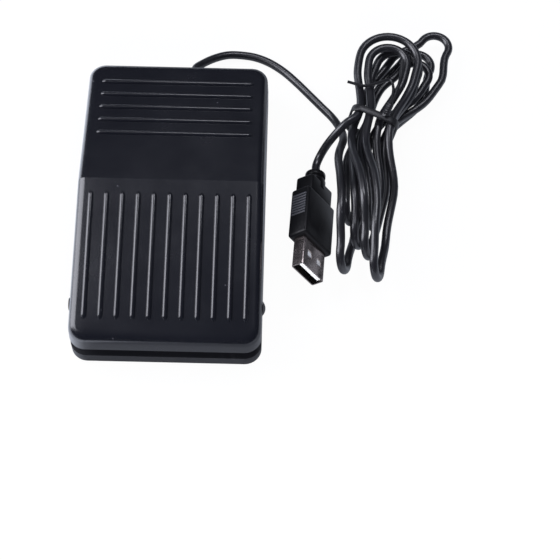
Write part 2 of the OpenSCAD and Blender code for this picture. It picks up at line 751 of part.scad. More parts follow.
// Case of the snap switch, with the lever's two lugs
module switch_body() {
    color([0.1, 0.1, 0.11]) difference() {
        union() {
            translate([-switch_w / 2, switch_y, board_top]) cube([switch_w, switch_l, switch_h]);
            both_sides() {
                lug_x = lever_w / 2 + 0.2;
                translate([lug_x, lever_y - 1.2, switch_top - 0.5])
                    cube([switch_w / 2 - lug_x, 2.4, lever_z - switch_top + 0.5]);
                across(lug_x, lever_y, lever_z) cylinder(r = 1.2, h = switch_w / 2 - lug_x);
            }
        }
        across(-switch_w, lever_y, lever_z) cylinder(r = lever_pin_r + axle_clear, h = 2 * switch_w);
        translate([0, plunger_y, switch_top - plunger_depth - 1.5]) cylinder(r = plunger_r + axle_clear, h = plunger_depth + 3);
        for (y = [0.25, 0.73])
            across(-switch_w, switch_y + switch_l * y, board_top + 2.9) cylinder(r = 1.15, h = 2 * switch_w);
    }
}

// Spring steel lever on its own pin
module switch_lever() {
    color([0.75, 0.76, 0.78]) {
        across(-switch_w / 2, lever_y, lever_z) cylinder(r = lever_pin_r, h = switch_w);
        translate([0, lever_y, lever_z]) rotate([lever_rise, 0, 0])
            translate([-lever_w / 2, 0, -lever_t / 2]) cube([lever_w, lever_l, lever_t]);
    }
}

plunger_depth = 2.5;
module switch_plunger() {
    color([0.7, 0.12, 0.1]) translate([0, plunger_y, switch_top - plunger_depth]) {
        cylinder(r = plunger_r, h = plunger_top - 0.3 - switch_top + plunger_depth);
        translate([0, 0, plunger_top - 0.3 - switch_top + plunger_depth])
            cylinder(r1 = plunger_r, r2 = plunger_r * 0.5, h = 0.3);
    }
}

// Rubber gland with two flanges and a short sleeve outside
module cable_gland() {
    flange_t = 0.9;
    sleeve_r = gland_r - 0.2;
    color([0.06, 0.06, 0.06]) difference() {
        union() {
            along(outlet_x, inner_y - flange_t, outlet_z) cylinder(r = gland_flange_r, h = flange_t);
            along(outlet_x, inner_y, outlet_z) cylinder(r = gland_r, h = upstand_t);
            along(outlet_x, gland_y, outlet_z) cylinder(r = gland_flange_r, h = flange_t);
            along(outlet_x, gland_y + flange_t, outlet_z)
                cylinder(r1 = sleeve_r, r2 = cord_r + 0.35, h = gland_l - flange_t);
        }
        along(outlet_x, inner_y - 2 * bite, outlet_z) cylinder(r = cord_r + gland_clear, h = gland_l + upstand_t + 4 * bite);
    }
}

module inner_cable() {
    color([0.08, 0.08, 0.09]) along(outlet_x, jacket_end_y, outlet_z) cylinder(r = cord_r, h = lead_start_y - jacket_end_y);
}

// Four cores from the jacket's end up into the header
module core_wires() {
    color([0.8, 0.2, 0.15]) for (i = [0 : 3]) {
        from = [outlet_x + (i < 2 ? -1 : 1) * 0.55, jacket_end_y, outlet_z + (i % 3 == 0 ? -1 : 1) * 0.55];
        to = [outlet_x + (i - 1.5) * core_pitch, core_end_y, core_z];
        gap = from[1] - to[1];
        way = [for (k = [0 : 6]) let (m = k / 6)
            [mix(from[0], to[0], smooth((m - 0.15) / 0.55)), from[1] - gap * m, mix(from[2], to[2], smooth((m - 0.15) / 0.55))]];
        tube(way, core_r, 6);
    }
}

// Bar that holds the lead down on its saddle
module cable_clamp() {
    bottom = outlet_z + slack / 2;
    color([0.2, 0.21, 0.23]) difference() {
        translate([outlet_x - clamp_w / 2, clamp_y - clamp_l / 2, bottom]) cube([clamp_w, clamp_l, clamp_top - bottom]);
        along(outlet_x, clamp_y - clamp_l, outlet_z) cylinder(r = cord_r + gland_clear, h = 2 * clamp_l);
        for (sx = [-1, 1]) translate([outlet_x + sx * clamp_screw_x, clamp_y, 0]) cylinder(r = screw_r + 0.1, h = 3 * outlet_z);
    }
}
clamp_top = outlet_z + cord_r + clamp_t;
module clamp_screws() {
    color([0.75, 0.75, 0.76]) for (sx = [-1, 1])
        translate([outlet_x + sx * clamp_screw_x, clamp_y, clamp_top]) screw(clamp_top - tray_z - floor_t / 2 - slack);
}

// Lead from the gland to the hank
module cable_lead() {
    color([0.08, 0.08, 0.09]) tube(lead_route, cord_r, 8);
}

// Wound part of the lead: layers of loops drawn in at the waist
module cable_hank() {
    way = hank_way(hank_rings);
    fine = hank_way(1.5 * hank_rings);
    echo(hank_least_gap = least_gap(fine, cord_r, loop_rings), hank_length = way_length(fine),
         lead_length = way_length(lead_route), tail_length = way_length(tail_route));
    color([0.08, 0.08, 0.09]) tube(way, cord_r, 6);
}

// Lead from the hank to the plug
module cable_tail() {
    color([0.08, 0.08, 0.09]) tube(tail_route, cord_r, 8);
}

// Plastic-coated wire round the waist, with its two ends twisted together
module twist_tie() {
    left = waist_r + layer_turns * waist_step + cord_r + tie_gap;
    right = waist_r + (layer_turns - 0.5) * waist_step + cord_r + tie_gap;
    bottom = -(hank_layers - 1) / 2 * layer_step - cord_r - tie_gap;
    top = (hank_layers - 1) / 2 * layer_step + cord_r + slack;
    w = left + right;
    h = top - bottom;
    color([0.1, 0.1, 0.11]) {
        translate([waist_at[0], waist_at[1], hank_mid(0)]) rotate([0, -hank_tilt(0), -waist_lean])
            translate([(right - left) / 2, 0, (top + bottom) / 2]) rotate([90, 0, 0])
                linear_extrude(tie_band_w, center = true) difference() {
                    round_rect(w + 2 * tie_band_t, h + 2 * tie_band_t, 2.6);
                    round_rect(w, h, 1.9);
                }
        tube(tie_knot_way, tie_knot_r, 6);
        tube(tie_long_way, tie_end_r, 6);
        tube(tie_short_way, tie_end_r, 6);
    }
}

module on_plug() {
    translate(plug_at) rotate([0, 0, plug_turn]) rotate([plug_tilt, 0, 0]) rotate([0, plug_roll, 0]) children();
}
// A block with rounded long edges, from y0 to y1
module slab(w, h, r, y0, y1) {
    translate([0, y0, 0]) rotate([-90, 0, 0]) linear_extrude(y1 - y0) round_rect(w, h, r);
}

neck_w = grip_w - 3.4;
neck_h = grip_h - 0.5;
// Moulded grip, stepped down to a collar round the lead
module usb_grip() {
    groove_r = collar_r - 0.6;
    color([0.08, 0.08, 0.09]) on_plug() difference() {
        union() {
            slab(grip_w, grip_h, 1, grip_y, neck_y);
            slab(neck_w, neck_h, 1, neck_y, collar_y);
            along(0, collar_y, 0) cylinder(r = collar_r, h = collar_l * 0.3);
            along(0, collar_y + collar_l * 0.3, 0) cylinder(r = groove_r, h = collar_l * 0.25);
            along(0, collar_y + collar_l * 0.55, 0) cylinder(r1 = collar_r, r2 = collar_r - 0.7, h = collar_l * 0.45);
        }
        slab(shell_w, shell_h, 0.6, grip_y - bite, grip_y + shell_in);
        grip_lines();
    }
}
// Fine grooves across the grip's two narrow sides
module grip_lines() {
    for (i = [0 : 5], sx = [-1, 1])
        translate([sx * (grip_w / 2), grip_y + grip_l * 0.44 + i * 1.1, 0]) cube([0.6, 0.5, grip_h * 0.7], center = true);
}

window_w = 2.4;
// Folded steel shell, open at the mouth, with two square windows on each broad side
module usb_shell() {
    color([0.72, 0.72, 0.74]) on_plug() difference() {
        slab(shell_w, shell_h, 0.6, 0, shell_out + shell_in);
        slab(shell_w - 2 * shell_t, shell_h - 2 * shell_t, 0.3, -bite, shell_out + shell_in - shell_t);
        for (sx = [-1, 1])
            translate([sx * 2.6, shell_out * 0.5, 0]) cube([window_w, window_w, 2 * shell_h], center = true);
    }
}

tongue_t = 1.8;
tongue_z = shell_h / 2 - shell_t - tongue_t / 2 - 0.1;
contact_t = 0.2;
// Insulating tongue that carries the contacts
module usb_tongue() {
    color([0.9, 0.9, 0.88]) on_plug() translate([0, 0, tongue_z]) {
        w = shell_w - 2 * shell_t - 0.4;
        translate([-w / 2, 0.8, -tongue_t / 2]) cube([w, shell_out + shell_in - shell_t - 1, tongue_t]);
    }
}

module usb_contacts() {
    color([0.85, 0.68, 0.3]) on_plug() translate([0, 0, tongue_z - tongue_t / 2 - contact_t])
        for (x = [-3.5, -1, 1, 3.5])
            translate([x - 0.5, 1.6, 0]) cube([1, shell_out - 2, contact_t]);
}

base_tray();
rubber_feet();
hinge_axle();
axle_cap();
treadle();
return_springs();
controller_board();
board_screws();
controller_chip();
crystal_can();
filter_capacitor();
chip_resistors();
core_header();
switch_body();
switch_pins();
switch_lever();
switch_plunger();
cable_gland();
inner_cable();
core_wires();
cable_clamp();
clamp_screws();
cable_lead();
cable_hank();
cable_tail();
twist_tie();
usb_grip();
usb_shell();
usb_tongue();
usb_contacts();
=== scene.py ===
"""Looks of a treadle foot switch: ribbed cover, base tray, tied hank of lead and a plug.

Everything is in metres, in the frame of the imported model: X to the right, Y towards the
cable end, Z up, with the origin on the floor under the middle of the pedal. Sizes of the
pieces are kept in millimetres.
"""

from __future__ import annotations

import logging
import math
from contextlib import contextmanager
from dataclasses import dataclass, field
from enum import Enum
from typing import Callable, Iterable, Iterator, Sequence

import bmesh
import bpy
from mathutils import Matrix, Vector

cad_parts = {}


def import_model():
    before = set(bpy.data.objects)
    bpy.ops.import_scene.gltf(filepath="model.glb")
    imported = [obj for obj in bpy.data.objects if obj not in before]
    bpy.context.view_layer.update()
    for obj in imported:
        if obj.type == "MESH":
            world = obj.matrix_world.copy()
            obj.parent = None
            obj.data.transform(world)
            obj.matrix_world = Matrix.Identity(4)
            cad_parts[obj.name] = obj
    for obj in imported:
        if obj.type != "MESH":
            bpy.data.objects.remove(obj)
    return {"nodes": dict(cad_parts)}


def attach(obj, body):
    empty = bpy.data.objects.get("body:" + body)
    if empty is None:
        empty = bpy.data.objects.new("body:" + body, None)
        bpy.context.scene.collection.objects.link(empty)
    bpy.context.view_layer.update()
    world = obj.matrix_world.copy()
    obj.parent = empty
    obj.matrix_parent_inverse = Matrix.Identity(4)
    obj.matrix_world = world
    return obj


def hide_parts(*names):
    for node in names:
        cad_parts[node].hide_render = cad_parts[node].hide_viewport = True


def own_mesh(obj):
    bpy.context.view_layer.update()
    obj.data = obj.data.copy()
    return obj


LOG = logging.getLogger("foot_switch")
MM = 0.001
Pair = tuple[float, float]
Point = tuple[float, float, float]
Colour = tuple[float, float, float]
Edge = bmesh.types.BMEdge
Piece = bpy.types.Object
Material = bpy.types.Material
Node = bpy.types.Node
Socket = bpy.types.NodeSocket
Tree = bpy.types.NodeTree
WHITE: Colour = (1.0, 1.0, 1.0)


def mm(*values: float) -> Vector:
    """Returns a vector of values given in millimetres."""
    return Vector(values) * MM


def smooth_step(a: float) -> float:
    """Returns an s-shaped blend from 0 to 1."""
    c = min(1.0, max(0.0, a))
    return c * c * (3 - 2 * c)


def mix(a: float, b: float, k: float) -> float:
    """Returns the value a share k of the way from a to b."""
    return a + (b - a) * k


def turned(*turns: tuple[float, str]) -> Matrix:
    """Returns turns about axes, in degrees and the last one first, as one matrix."""
    made = Matrix.Identity(4)
    for angle, axis in turns:
        made = made @ Matrix.Rotation(math.radians(angle), 4, axis)
    return made


# Shader helpers


class Op(Enum):
    """What a maths node does with its two values."""

    PLUS = "ADD"
    TIMES = "MULTIPLY"
    LARGER = "MAXIMUM"
    ABOVE = "GREATER_THAN"


@dataclass
class Links:
    """A node tree with short calls that add nodes and feed their inputs.

    A value to feed is a socket to join or a constant to set.
    """

    tree: Tree

    def feed(self, into: Socket, value: object) -> None:
        """Joins a socket to an input, or sets a constant there."""
        if isinstance(value, Socket):
            self.tree.links.new(value, into)
        else:
            into.default_value = value

    def add(self, kind: str, **values: object) -> Node:
        """Adds a shader node, sets its properties and feeds its inputs.

        Args:
            kind: the node's type name after the words ShaderNode.
            **values: properties, or values of inputs by name with _ for spaces.

        Returns:
            The new node.
        """
        node = self.tree.nodes.new("ShaderNode" + kind)
        for name, value in values.items():
            if hasattr(node, name):
                setattr(node, name, value)
            else:
                self.feed(node.inputs[name.replace("_", " ")], value)
        return node

    def number(self, op: Op, a: object, b: object) -> Socket:
        """Returns what a maths node makes of two values."""
        node = self.add("Math", operation=op.value)
        self.feed(node.inputs[0], a)
        self.feed(node.inputs[1], b)
        return node.outputs[0]

    def blend(self, factor: object, a: object, b: object) -> Socket:
        """Returns the value a share of the way from a to b."""
        node = self.add("Mix", data_type="FLOAT")
        for index, value in ((0, factor), (2, a), (3, b)):
            self.feed(node.inputs[index], value)
        return node.outputs[0]

    def colour(self, factor: object, a: object, b: object) -> Socket:
        """Returns the colour a share of the way from a to b, sockets or plain colours."""
        node = self.add("Mix", data_type="RGBA")
        self.feed(node.inputs[0], factor)
        for index, value in ((6, a), (7, b)):
            self.feed(node.inputs[index], (*value, 1.0) if isinstance(value, tuple) else value)
        return node.outputs[2]

    def ramp(
        self, factor: Socket, a: float, b: float, low: float = 0.3, high: float = 0.7
    ) -> Socket:
        """Returns a value that goes from a to b as a factor goes from low to high."""
        node = self.add("MapRange")
        for index, value in enumerate((factor, low, high, a, b)):
            self.feed(node.inputs[index], value)
        return node.outputs[0]

    def axis(self, coords: Socket, name: str) -> Socket:
        """Returns one axis of some coordinates."""
        return self.add("SeparateXYZ", Vector=coords).outputs[name]

    def bump(self, height: Socket, shader: Node, strength: float, depth: float) -> None:
        """Feeds a height into a shader's normal, with a strength and a depth in metres."""
        node = self.add("Bump", Strength=strength, Distance=depth, Height=height)
        self.feed(shader.inputs["Normal"], node.outputs[0])

    def effect(self, effect: Effect, **values: object) -> Node:
        """Returns a new node with a shared effect, its inputs fed by name."""
        return self.add("Group", node_tree=effect.group(), **values)


class Effect(Enum):
    """Shared surface effects, each kept as one shader group."""

    GRAIN = "moulded_grain"
    SCUFF = "scuff_marks"
    STREAK = "drawn_streaks"
    DUST = "settled_dust"

    def group(self) -> Tree:
        """Returns the effect's shader group, made on first use."""
        return bpy.data.node_groups.get(self.value) or EFFECT_MAKERS[self]()

    def start(
        self, values: dict[str, float], outputs: Sequence[str]
    ) -> tuple[Links, bpy.types.NodeOutputs, bpy.types.NodeInputs]:
        """Makes the effect's group, which takes a Vector and some values.

        Args:
            values: the start value of each input value.
            outputs: the names of the values that it gives.

        Returns:
            The group's links, the sockets that it takes and the sockets that it gives.
        """
        tree = bpy.data.node_groups.new(self.value, "ShaderNodeTree")
        add = tree.interface.new_socket
        add("Vector", in_out="INPUT", socket_type="NodeSocketVector")
        for label, value in values.items():
            add(label, in_out="INPUT", socket_type="NodeSocketFloat").default_value = value
        for label in outputs:
            add(label, in_out="OUTPUT", socket_type="NodeSocketFloat")
        takes, gives = tree.nodes.new("NodeGroupInput"), tree.nodes.new("NodeGroupOutput")
        return Links(tree), takes.outputs, gives.inputs


def make_grain() -> Tree:
    """Returns the group for a spark-eroded mould's fine grain and broad mottling."""
    g, take, give = Effect.GRAIN.start({"Scale": 900.0}, ("Height", "Mottle"))
    place, scale = take["Vector"], take["Scale"]
    fine = g.add("TexNoise", Vector=place, Scale=scale, Detail=3.0, Roughness=0.65)
    cells = g.add("TexVoronoi", Vector=place, Scale=scale)
    wide = g.number(Op.TIMES, scale, 0.045)
    broad = g.add("TexNoise", Vector=place, Scale=wide, Detail=4.0, Roughness=0.55)
    g.feed(give["Height"], g.blend(0.4, fine.outputs[0], cells.outputs["Distance"]))
    g.feed(give["Mottle"], broad.outputs[0])
    return g.tree


def make_scuff() -> Tree:
    """Returns the group for sparse hairline rubs, as a mask."""
    g, take, give = Effect.SCUFF.start({"Scale": 60.0, "Amount": 0.3}, ("Mask",))
    place, scale = take["Vector"], take["Scale"]
    pulled = g.add("Mapping", Vector=place, Scale=(1.0, 0.12, 1.0), Rotation=(0.0, 0.0, 0.5))
    lines = g.add("TexNoise", Vector=pulled.outputs[0], Scale=scale, Detail=5.0, Roughness=0.7)
    where = g.add("TexNoise", Vector=place, Scale=g.number(Op.TIMES, scale, 0.2), Detail=2.0)
    sharp = g.ramp(lines.outputs[0], 0.0, 1.0, 0.6, 0.78)
    spots = g.ramp(where.outputs[0], 0.0, 1.0, 0.42, 0.7)
    g.feed(give["Mask"], g.number(Op.TIMES, g.number(Op.TIMES, sharp, spots), take["Amount"]))
    return g.tree


def make_streak() -> Tree:
    """Returns the group for fine drawn or rolled lines in metal."""
    g, take, give = Effect.STREAK.start({"Scale": 700.0}, ("Height", "Tone"))
    place, scale = take["Vector"], take["Scale"]
    pulled = g.add("Mapping", Vector=place, Scale=(1.0, 0.06, 1.0))
    lines = g.add("TexNoise", Vector=pulled.outputs[0], Scale=scale, Detail=4.0, Roughness=0.6)
    tone = g.add("TexNoise", Vector=place, Scale=g.number(Op.TIMES, scale, 0.25), Detail=3.0)
    g.feed(give["Height"], lines.outputs[0])
    g.feed(give["Tone"], tone.outputs[0])
    return g.tree


def make_dust() -> Tree:
    """Returns the group for pale specks of dust, as a mask."""
    g, take, give = Effect.DUST.start({"Scale": 260.0, "Amount": 0.5}, ("Mask",))
    spots = g.add("TexVoronoi", Vector=take["Vector"], Scale=take["Scale"])
    near = g.ramp(spots.outputs["Distance"], 0.0, 1.0, 0.1, 0.02)
    some = g.add("TexWhiteNoise", Vector=spots.outputs["Color"])
    rare = g.number(Op.ABOVE, some.outputs[0], 0.93)
    g.feed(give["Mask"], g.number(Op.TIMES, g.number(Op.TIMES, near, rare), take["Amount"]))
    return g.tree


EFFECT_MAKERS: dict[Effect, Callable[[], Tree]] = {
    Effect.GRAIN: make_grain,
    Effect.SCUFF: make_scuff,
    Effect.STREAK: make_streak,
    Effect.DUST: make_dust,
}


def start_material(name: str) -> tuple[Material, Links, Node, Socket]:
    """Makes an empty material.

    Args:
        name: the material's name.

    Returns:
        The material, its links, its Principled shader and its Object coordinates.
    """
    made = bpy.data.materials.new(name)
    made.use_nodes = True
    links = Links(made.node_tree)
    shader = made.node_tree.nodes["Principled BSDF"]
    return made, links, shader, links.add("TexCoord").outputs["Object"]


class Finish:
    """A finish that can be put on a piece."""

    name: str

    def make(self) -> Material:
        """Returns the finish's new material."""
        raise NotImplementedError

    def material(self) -> Material:
        """Returns the finish's material, made on first use."""
        return bpy.data.materials.get(self.name) or self.make()

    def dress(self, *pieces: Piece) -> None:
        """Puts the finish on pieces as their only material."""
        for piece in pieces:
            piece.data.materials.clear()
            piece.data.materials.append(self.material())


@dataclass(frozen=True)
class Moulded(Finish):
    """A moulded plastic or rubber with grain, mottling, rubs and dust."""

    name: str
    colour: Colour
    patch: Colour
    rough: Pair = (0.36, 0.48)
    grain: float = 1500.0
    depth: float = 0.00003
    strength: float = 0.35
    specular: float = 0.5
    scuff: float = 0.25
    scuff_scale: float = 70.0
    dust: float = 0.35
    dust_scale: float = 300.0
    pale: Colour = (0.2, 0.2, 0.22)

    def make(self) -> Material:
        """Returns the new material."""
        made, links, shader, coords = start_material(self.name)
        grain = links.effect(Effect.GRAIN, Vector=coords, Scale=self.grain)
        scuff = links.effect(Effect.SCUFF, Vector=coords, Scale=self.scuff_scale, Amount=self.scuff)
        dust = links.effect(Effect.DUST, Vector=coords, Scale=self.dust_scale, Amount=self.dust)
        mottle = grain.outputs["Mottle"]
        marks = links.number(Op.LARGER, scuff.outputs[0], dust.outputs[0])
        base = links.colour(mottle, self.colour, self.patch)
        links.feed(shader.inputs["Base Color"], links.colour(marks, base, self.pale))
        links.feed(shader.inputs["Roughness"], links.ramp(mottle, *self.rough))
        links.bump(grain.outputs["Height"], shader, self.strength, self.depth)
        shader.inputs["Specular IOR Level"].default_value = self.specular
        return made


@dataclass(frozen=True)
class Plated(Finish):
    """A plated or drawn metal with fine streaks and toned patches."""

    name: str
    colour: Colour
    patch: Colour
    rough: Pair = (0.2, 0.34)
    scale: float = 900.0
    strength: float = 0.12
    depth: float = 0.00002
    metallic: float = 1.0
    scuff: float = 0.5
    scuff_scale: float = 160.0
    scuff_rough: float = 0.2

    def make(self) -> Material:
        """Returns the new material."""
        made, links, shader, coords = start_material(self.name)
        streak = links.effect(Effect.STREAK, Vector=coords, Scale=self.scale)
        scuff = links.effect(Effect.SCUFF, Vector=coords, Scale=self.scuff_scale, Amount=self.scuff)
        tone = streak.outputs["Tone"]
        links.feed(shader.inputs["Base Color"], links.colour(tone, self.colour, self.patch))
        rubbed = links.number(Op.TIMES, scuff.outputs[0], self.scuff_rough)
        rough = links.number(Op.PLUS, links.ramp(tone, *self.rough), rubbed)
        links.feed(shader.inputs["Roughness"], rough)
        links.bump(streak.outputs["Height"], shader, self.strength, self.depth)
        shader.inputs["Metallic"].default_value = self.metallic
        return made


BLACK_COVER = Moulded(
    "black_cover_plastic", (0.0026, 0.0029, 0.0052), (0.0044, 0.0049, 0.0085),
    rough=(0.22, 0.28), depth=0.00001, strength=0.1, specular=0.95, scuff=0.06,
)
BLACK_TRAY = Moulded(
    "black_tray_plastic", (0.008, 0.0083, 0.0105), (0.012, 0.0124, 0.0155),
    rough=(0.42, 0.52), specular=0.4,
)
CORD_JACKET = Moulded(
    "black_cord_jacket", (0.006, 0.006, 0.0075), (0.01, 0.01, 0.0125),
    rough=(0.28, 0.36), grain=2600.0, depth=0.00001, strength=0.15, specular=1.0, scuff=0.12,
    dust=0.25,
)
PLUG_GRIP = Moulded(
    "black_plug_grip", (0.0045, 0.0045, 0.0052), (0.0075, 0.0075, 0.0085),
    rough=(0.3, 0.4), grain=2000.0, strength=0.2, specular=0.3, scuff=0.2,
)
# Painted highlight: the ridges get a paler colour than the grip, standing in for the light on the
# grip's sides.
PLUG_RIDGES_PAINTED_HIGHLIGHT = Moulded(
    "worn_plug_ridges", (0.042, 0.043, 0.05), (0.06, 0.062, 0.07),
    rough=(0.4, 0.5), grain=2000.0, specular=0.5, scuff=0.2,
)
TIE_COAT = Moulded(
    "black_tie_coat", (0.007, 0.007, 0.008), (0.011, 0.011, 0.0125),
    rough=(0.3, 0.4), grain=2600.0, strength=0.2, specular=0.6,
)
FOOT_RUBBER = Moulded(
    "dull_foot_rubber", (0.014, 0.014, 0.014), (0.024, 0.024, 0.024),
    rough=(0.7, 0.85), strength=0.5, specular=0.3, dust=0.6,
)
GLAND_RUBBER = Moulded(
    "dull_gland_rubber", (0.01, 0.01, 0.01), (0.016, 0.016, 0.016),
    rough=(0.55, 0.7), specular=0.35,
)
CASE_BLACK = Moulded(
    "switch_case_plastic", (0.015, 0.015, 0.016), (0.022, 0.022, 0.024),
    rough=(0.4, 0.55), grain=2200.0,
)
CHIP_BLACK = Moulded(
    "chip_epoxy", (0.013, 0.013, 0.014), (0.02, 0.02, 0.021),
    rough=(0.55, 0.68), grain=3000.0,
)
BOARD_MASK = Moulded(
    "board_solder_mask", (0.012, 0.13, 0.06), (0.02, 0.17, 0.08),
    rough=(0.22, 0.32), grain=700.0, depth=0.00002, specular=0.6,
)
CAP_SLEEVE = Moulded(
    "capacitor_sleeve", (0.02, 0.03, 0.16), (0.03, 0.045, 0.2),
    rough=(0.2, 0.3), specular=0.6,
)
CHIP_CERAMIC = Moulded(
    "chip_ceramic", (0.42, 0.33, 0.22), (0.5, 0.4, 0.28),
    rough=(0.45, 0.6), grain=2600.0,
)
HEADER_NYLON = Moulded(
    "header_nylon", (0.78, 0.75, 0.66), (0.84, 0.82, 0.74),
    rough=(0.4, 0.5), pale=(0.6, 0.58, 0.5),
)
PLUNGER_RED = Moulded("plunger_nylon", (0.52, 0.03, 0.025), (0.6, 0.05, 0.04), rough=(0.35, 0.45))
CORE_SLEEVE = Moulded(
    "core_sleeve", (0.5, 0.04, 0.03), (0.58, 0.06, 0.05),
    rough=(0.3, 0.4), grain=2600.0,
)
TONGUE_PLASTIC = Moulded(
    "white_tongue_plastic", (0.8, 0.8, 0.78), (0.86, 0.86, 0.84),
    rough=(0.35, 0.45), pale=(0.5, 0.5, 0.5),
)
SHELL_NICKEL = Plated(
    "folded_shell_nickel", (0.46, 0.4, 0.385), (0.6, 0.53, 0.51),
    rough=(0.2, 0.3),
)
# Painted shade: a near-black metal for the walls inside the plug's mouth, standing in for the
# shadow there.
SHELL_PAINTED_SHADE = Plated(
    "shell_inside", (0.014, 0.013, 0.013), (0.024, 0.022, 0.022),
    rough=(0.4, 0.5), metallic=0.7,
)
CONTACT_GOLD = Plated("plated_contact_gold", (0.86, 0.6, 0.22), (0.92, 0.68, 0.3))
AXLE_BLACK = Plated(
    "blackened_steel", (0.05, 0.05, 0.055), (0.08, 0.08, 0.085),
    rough=(0.28, 0.4), metallic=0.85,
)
SPRING_STEEL = Plated("drawn_spring_steel", (0.55, 0.56, 0.58), (0.65, 0.66, 0.68))
SCREW_ZINC = Plated("turned_screw_zinc", (0.62, 0.63, 0.66), (0.72, 0.73, 0.76), rough=(0.28, 0.42))
CAN_NICKEL = Plated("drawn_can_nickel", (0.64, 0.64, 0.66), (0.72, 0.72, 0.74))
PIN_TIN = Plated("pin_tin", (0.62, 0.6, 0.56), (0.72, 0.7, 0.66))


# Modelling helpers


def clear_selection() -> None:
    """Leaves edit mode and deselects every object."""
    if bpy.context.object is not None and bpy.context.object.mode != "OBJECT":
        bpy.ops.object.mode_set(mode="OBJECT")
    bpy.ops.object.select_all(action="DESELECT")


def make_active(piece: Piece) -> None:
    """Makes one piece the only selected and the active one."""
    clear_selection()
    piece.select_set(True)
    bpy.context.view_layer.objects.active = piece


class Element(Enum):
    """Kinds of mesh element that can be picked in edit mode, by their table."""

    EDGE = "edges"
    FACE = "faces"


@contextmanager
def edit_mode(piece: Piece) -> Iterator[None]:
    """Edits a piece, with nothing selected at first, until the block ends."""
    make_active(piece)
    bpy.ops.object.mode_set(mode="EDIT")
    bpy.ops.mesh.select_all(action="DESELECT")
    yield
    bpy.ops.object.mode_set(mode="OBJECT")


def pick(piece: Piece, kind: Element, test: Callable[..., bool]) -> None:
    """Selects the elements of a piece under edit that pass a test, and no others.

    Args:
        piece: the piece.
        kind: edges or faces.
        test: says whether an element is picked.
    """
    bpy.ops.mesh.select_mode(type=kind.name)
    mesh = bmesh.from_edit_mesh(piece.data)
    mesh.normal_update()
    elements = getattr(mesh, kind.value)
    for element in elements:
        element.select_set(False)
    for element in elements:
        if test(element):
            element.select_set(True)
    bmesh.update_edit_mesh(piece.data)


def span(edge: Edge, axis: int) -> float:
    """Returns how far an edge goes along an axis."""
    return abs(edge.verts[0].co[axis] - edge.verts[1].co[axis])


def settle(piece: Piece) -> Piece:
    """Puts a piece's place into its mesh, and returns the piece."""
    make_active(piece)
    bpy.ops.object.transform_apply(location=True, rotation=True, scale=True)
    return piece


def add_block(name: str, size: Vector, centre: Vector) -> Piece:
    """Adds a box.

    Args:
        name: the piece's name.
        size: its three sides.
        centre: its middle.

    Returns:
        The piece, with its place in its mesh.
    """
    clear_selection()
    bpy.ops.mesh.primitive_cube_add(size=1.0, location=centre, scale=size)
    piece = bpy.context.object
    piece.name = piece.data.name = name
    return settle(piece)


def add_rod(name: str, radius: float, start: Vector, end: Vector, sides: int) -> Piece:
    """Adds a round bar between two points.

    Args:
        name: the piece's name.
        radius: the bar's radius.
        start: the middle of its first end.
        end: the middle of its other end.
        sides: how many sides it has.

    Returns:
        The piece, with its place in its mesh.
    """
    clear_selection()
    along = end - start
    bpy.ops.mesh.primitive_cylinder_add(
        vertices=sides, radius=radius, depth=along.length, location=(start + end) / 2
    )
    piece = bpy.context.object
    piece.rotation_mode = "QUATERNION"
    piece.rotation_quaternion = along.to_track_quat("Z", "Y")
    piece.name = piece.data.name = name
    return settle(piece)


def modify(piece: Piece, name: str, kind: str, **settings: object) -> bpy.types.Modifier:
    """Gives a piece a modifier.

    Args:
        piece: the piece.
        name: the modifier's name.
        kind: its type.
        **settings: its properties.

    Returns:
        The modifier, not yet applied.
    """
    made = piece.modifiers.new(name, kind)
    for key, value in settings.items():
        setattr(made, key, value)
    return made


def shape(piece: Piece, name: str, kind: str, **settings: object) -> Piece:
    """Shapes a piece with a modifier that is applied at once, and returns the piece."""
    make_active(piece)
    bpy.ops.object.modifier_apply(modifier=modify(piece, name, kind, **settings).name)
    return piece


def bevel_settings(width: float, segments: int, angle: float) -> dict[str, object]:
    """Returns the settings of a bevel on edges sharper than an angle in degrees."""
    return {
        "width": width, "segments": segments,
        "limit_method": "ANGLE", "angle_limit": math.radians(angle),
    }


def bevel_edges(piece: Piece, width: float, segments: int) -> Piece:
    """Rounds a piece's sharp edges, and returns the piece."""
    return shape(piece, "round", "BEVEL", **bevel_settings(width, segments, 30))


def cut_away(piece: Piece, *cutters: Piece) -> Piece:
    """Cuts other pieces' shapes out of a piece and removes them, and returns the piece."""
    for cutter in cutters:
        shape(piece, "cut", "BOOLEAN", operation="DIFFERENCE", solver="EXACT", object=cutter)
        bpy.data.objects.remove(cutter)
    return piece


def join_pieces(first: Piece, others: Iterable[Piece]) -> Piece:
    """Joins pieces into the first one, and returns it."""
    make_active(first)
    for piece in others:
        piece.select_set(True)
    bpy.ops.object.join()
    return first


def shade(piece: Piece, angle: float = 35.0) -> Piece:
    """Smooths a piece's faces up to an angle, and returns the piece."""
    make_active(piece)
    bpy.ops.object.shade_smooth_by_angle(angle=math.radians(angle))
    return piece


def copy_of(piece: Piece, matrix: Matrix) -> Piece:
    """Returns a moved copy of a piece, with a mesh of its own."""
    made = piece.copy()
    made.data = piece.data.copy()
    made.data.transform(matrix)
    bpy.context.scene.collection.objects.link(made)
    return made


def tube_along(name: str, points: Sequence[Vector], radius: float, round_steps: int) -> Piece:
    """Makes a round tube as a curve of one open spline.

    Args:
        name: the curve's name.
        points: the places that it follows.
        radius: the tube's radius.
        round_steps: how fine its round section is.

    Returns:
        The curve object.
    """
    curve = bpy.data.curves.new(name, "CURVE")
    curve.dimensions = "3D"
    curve.bevel_depth = radius
    curve.bevel_resolution = round_steps
    curve.use_fill_caps = True
    spline = curve.splines.new("POLY")
    spline.points.add(len(points) - 1)
    for place, p in zip(spline.points, points):
        place.co = (*p, 1.0)
    spline.use_smooth = True
    made = bpy.data.objects.new(name, curve)
    bpy.context.scene.collection.objects.link(made)
    return made


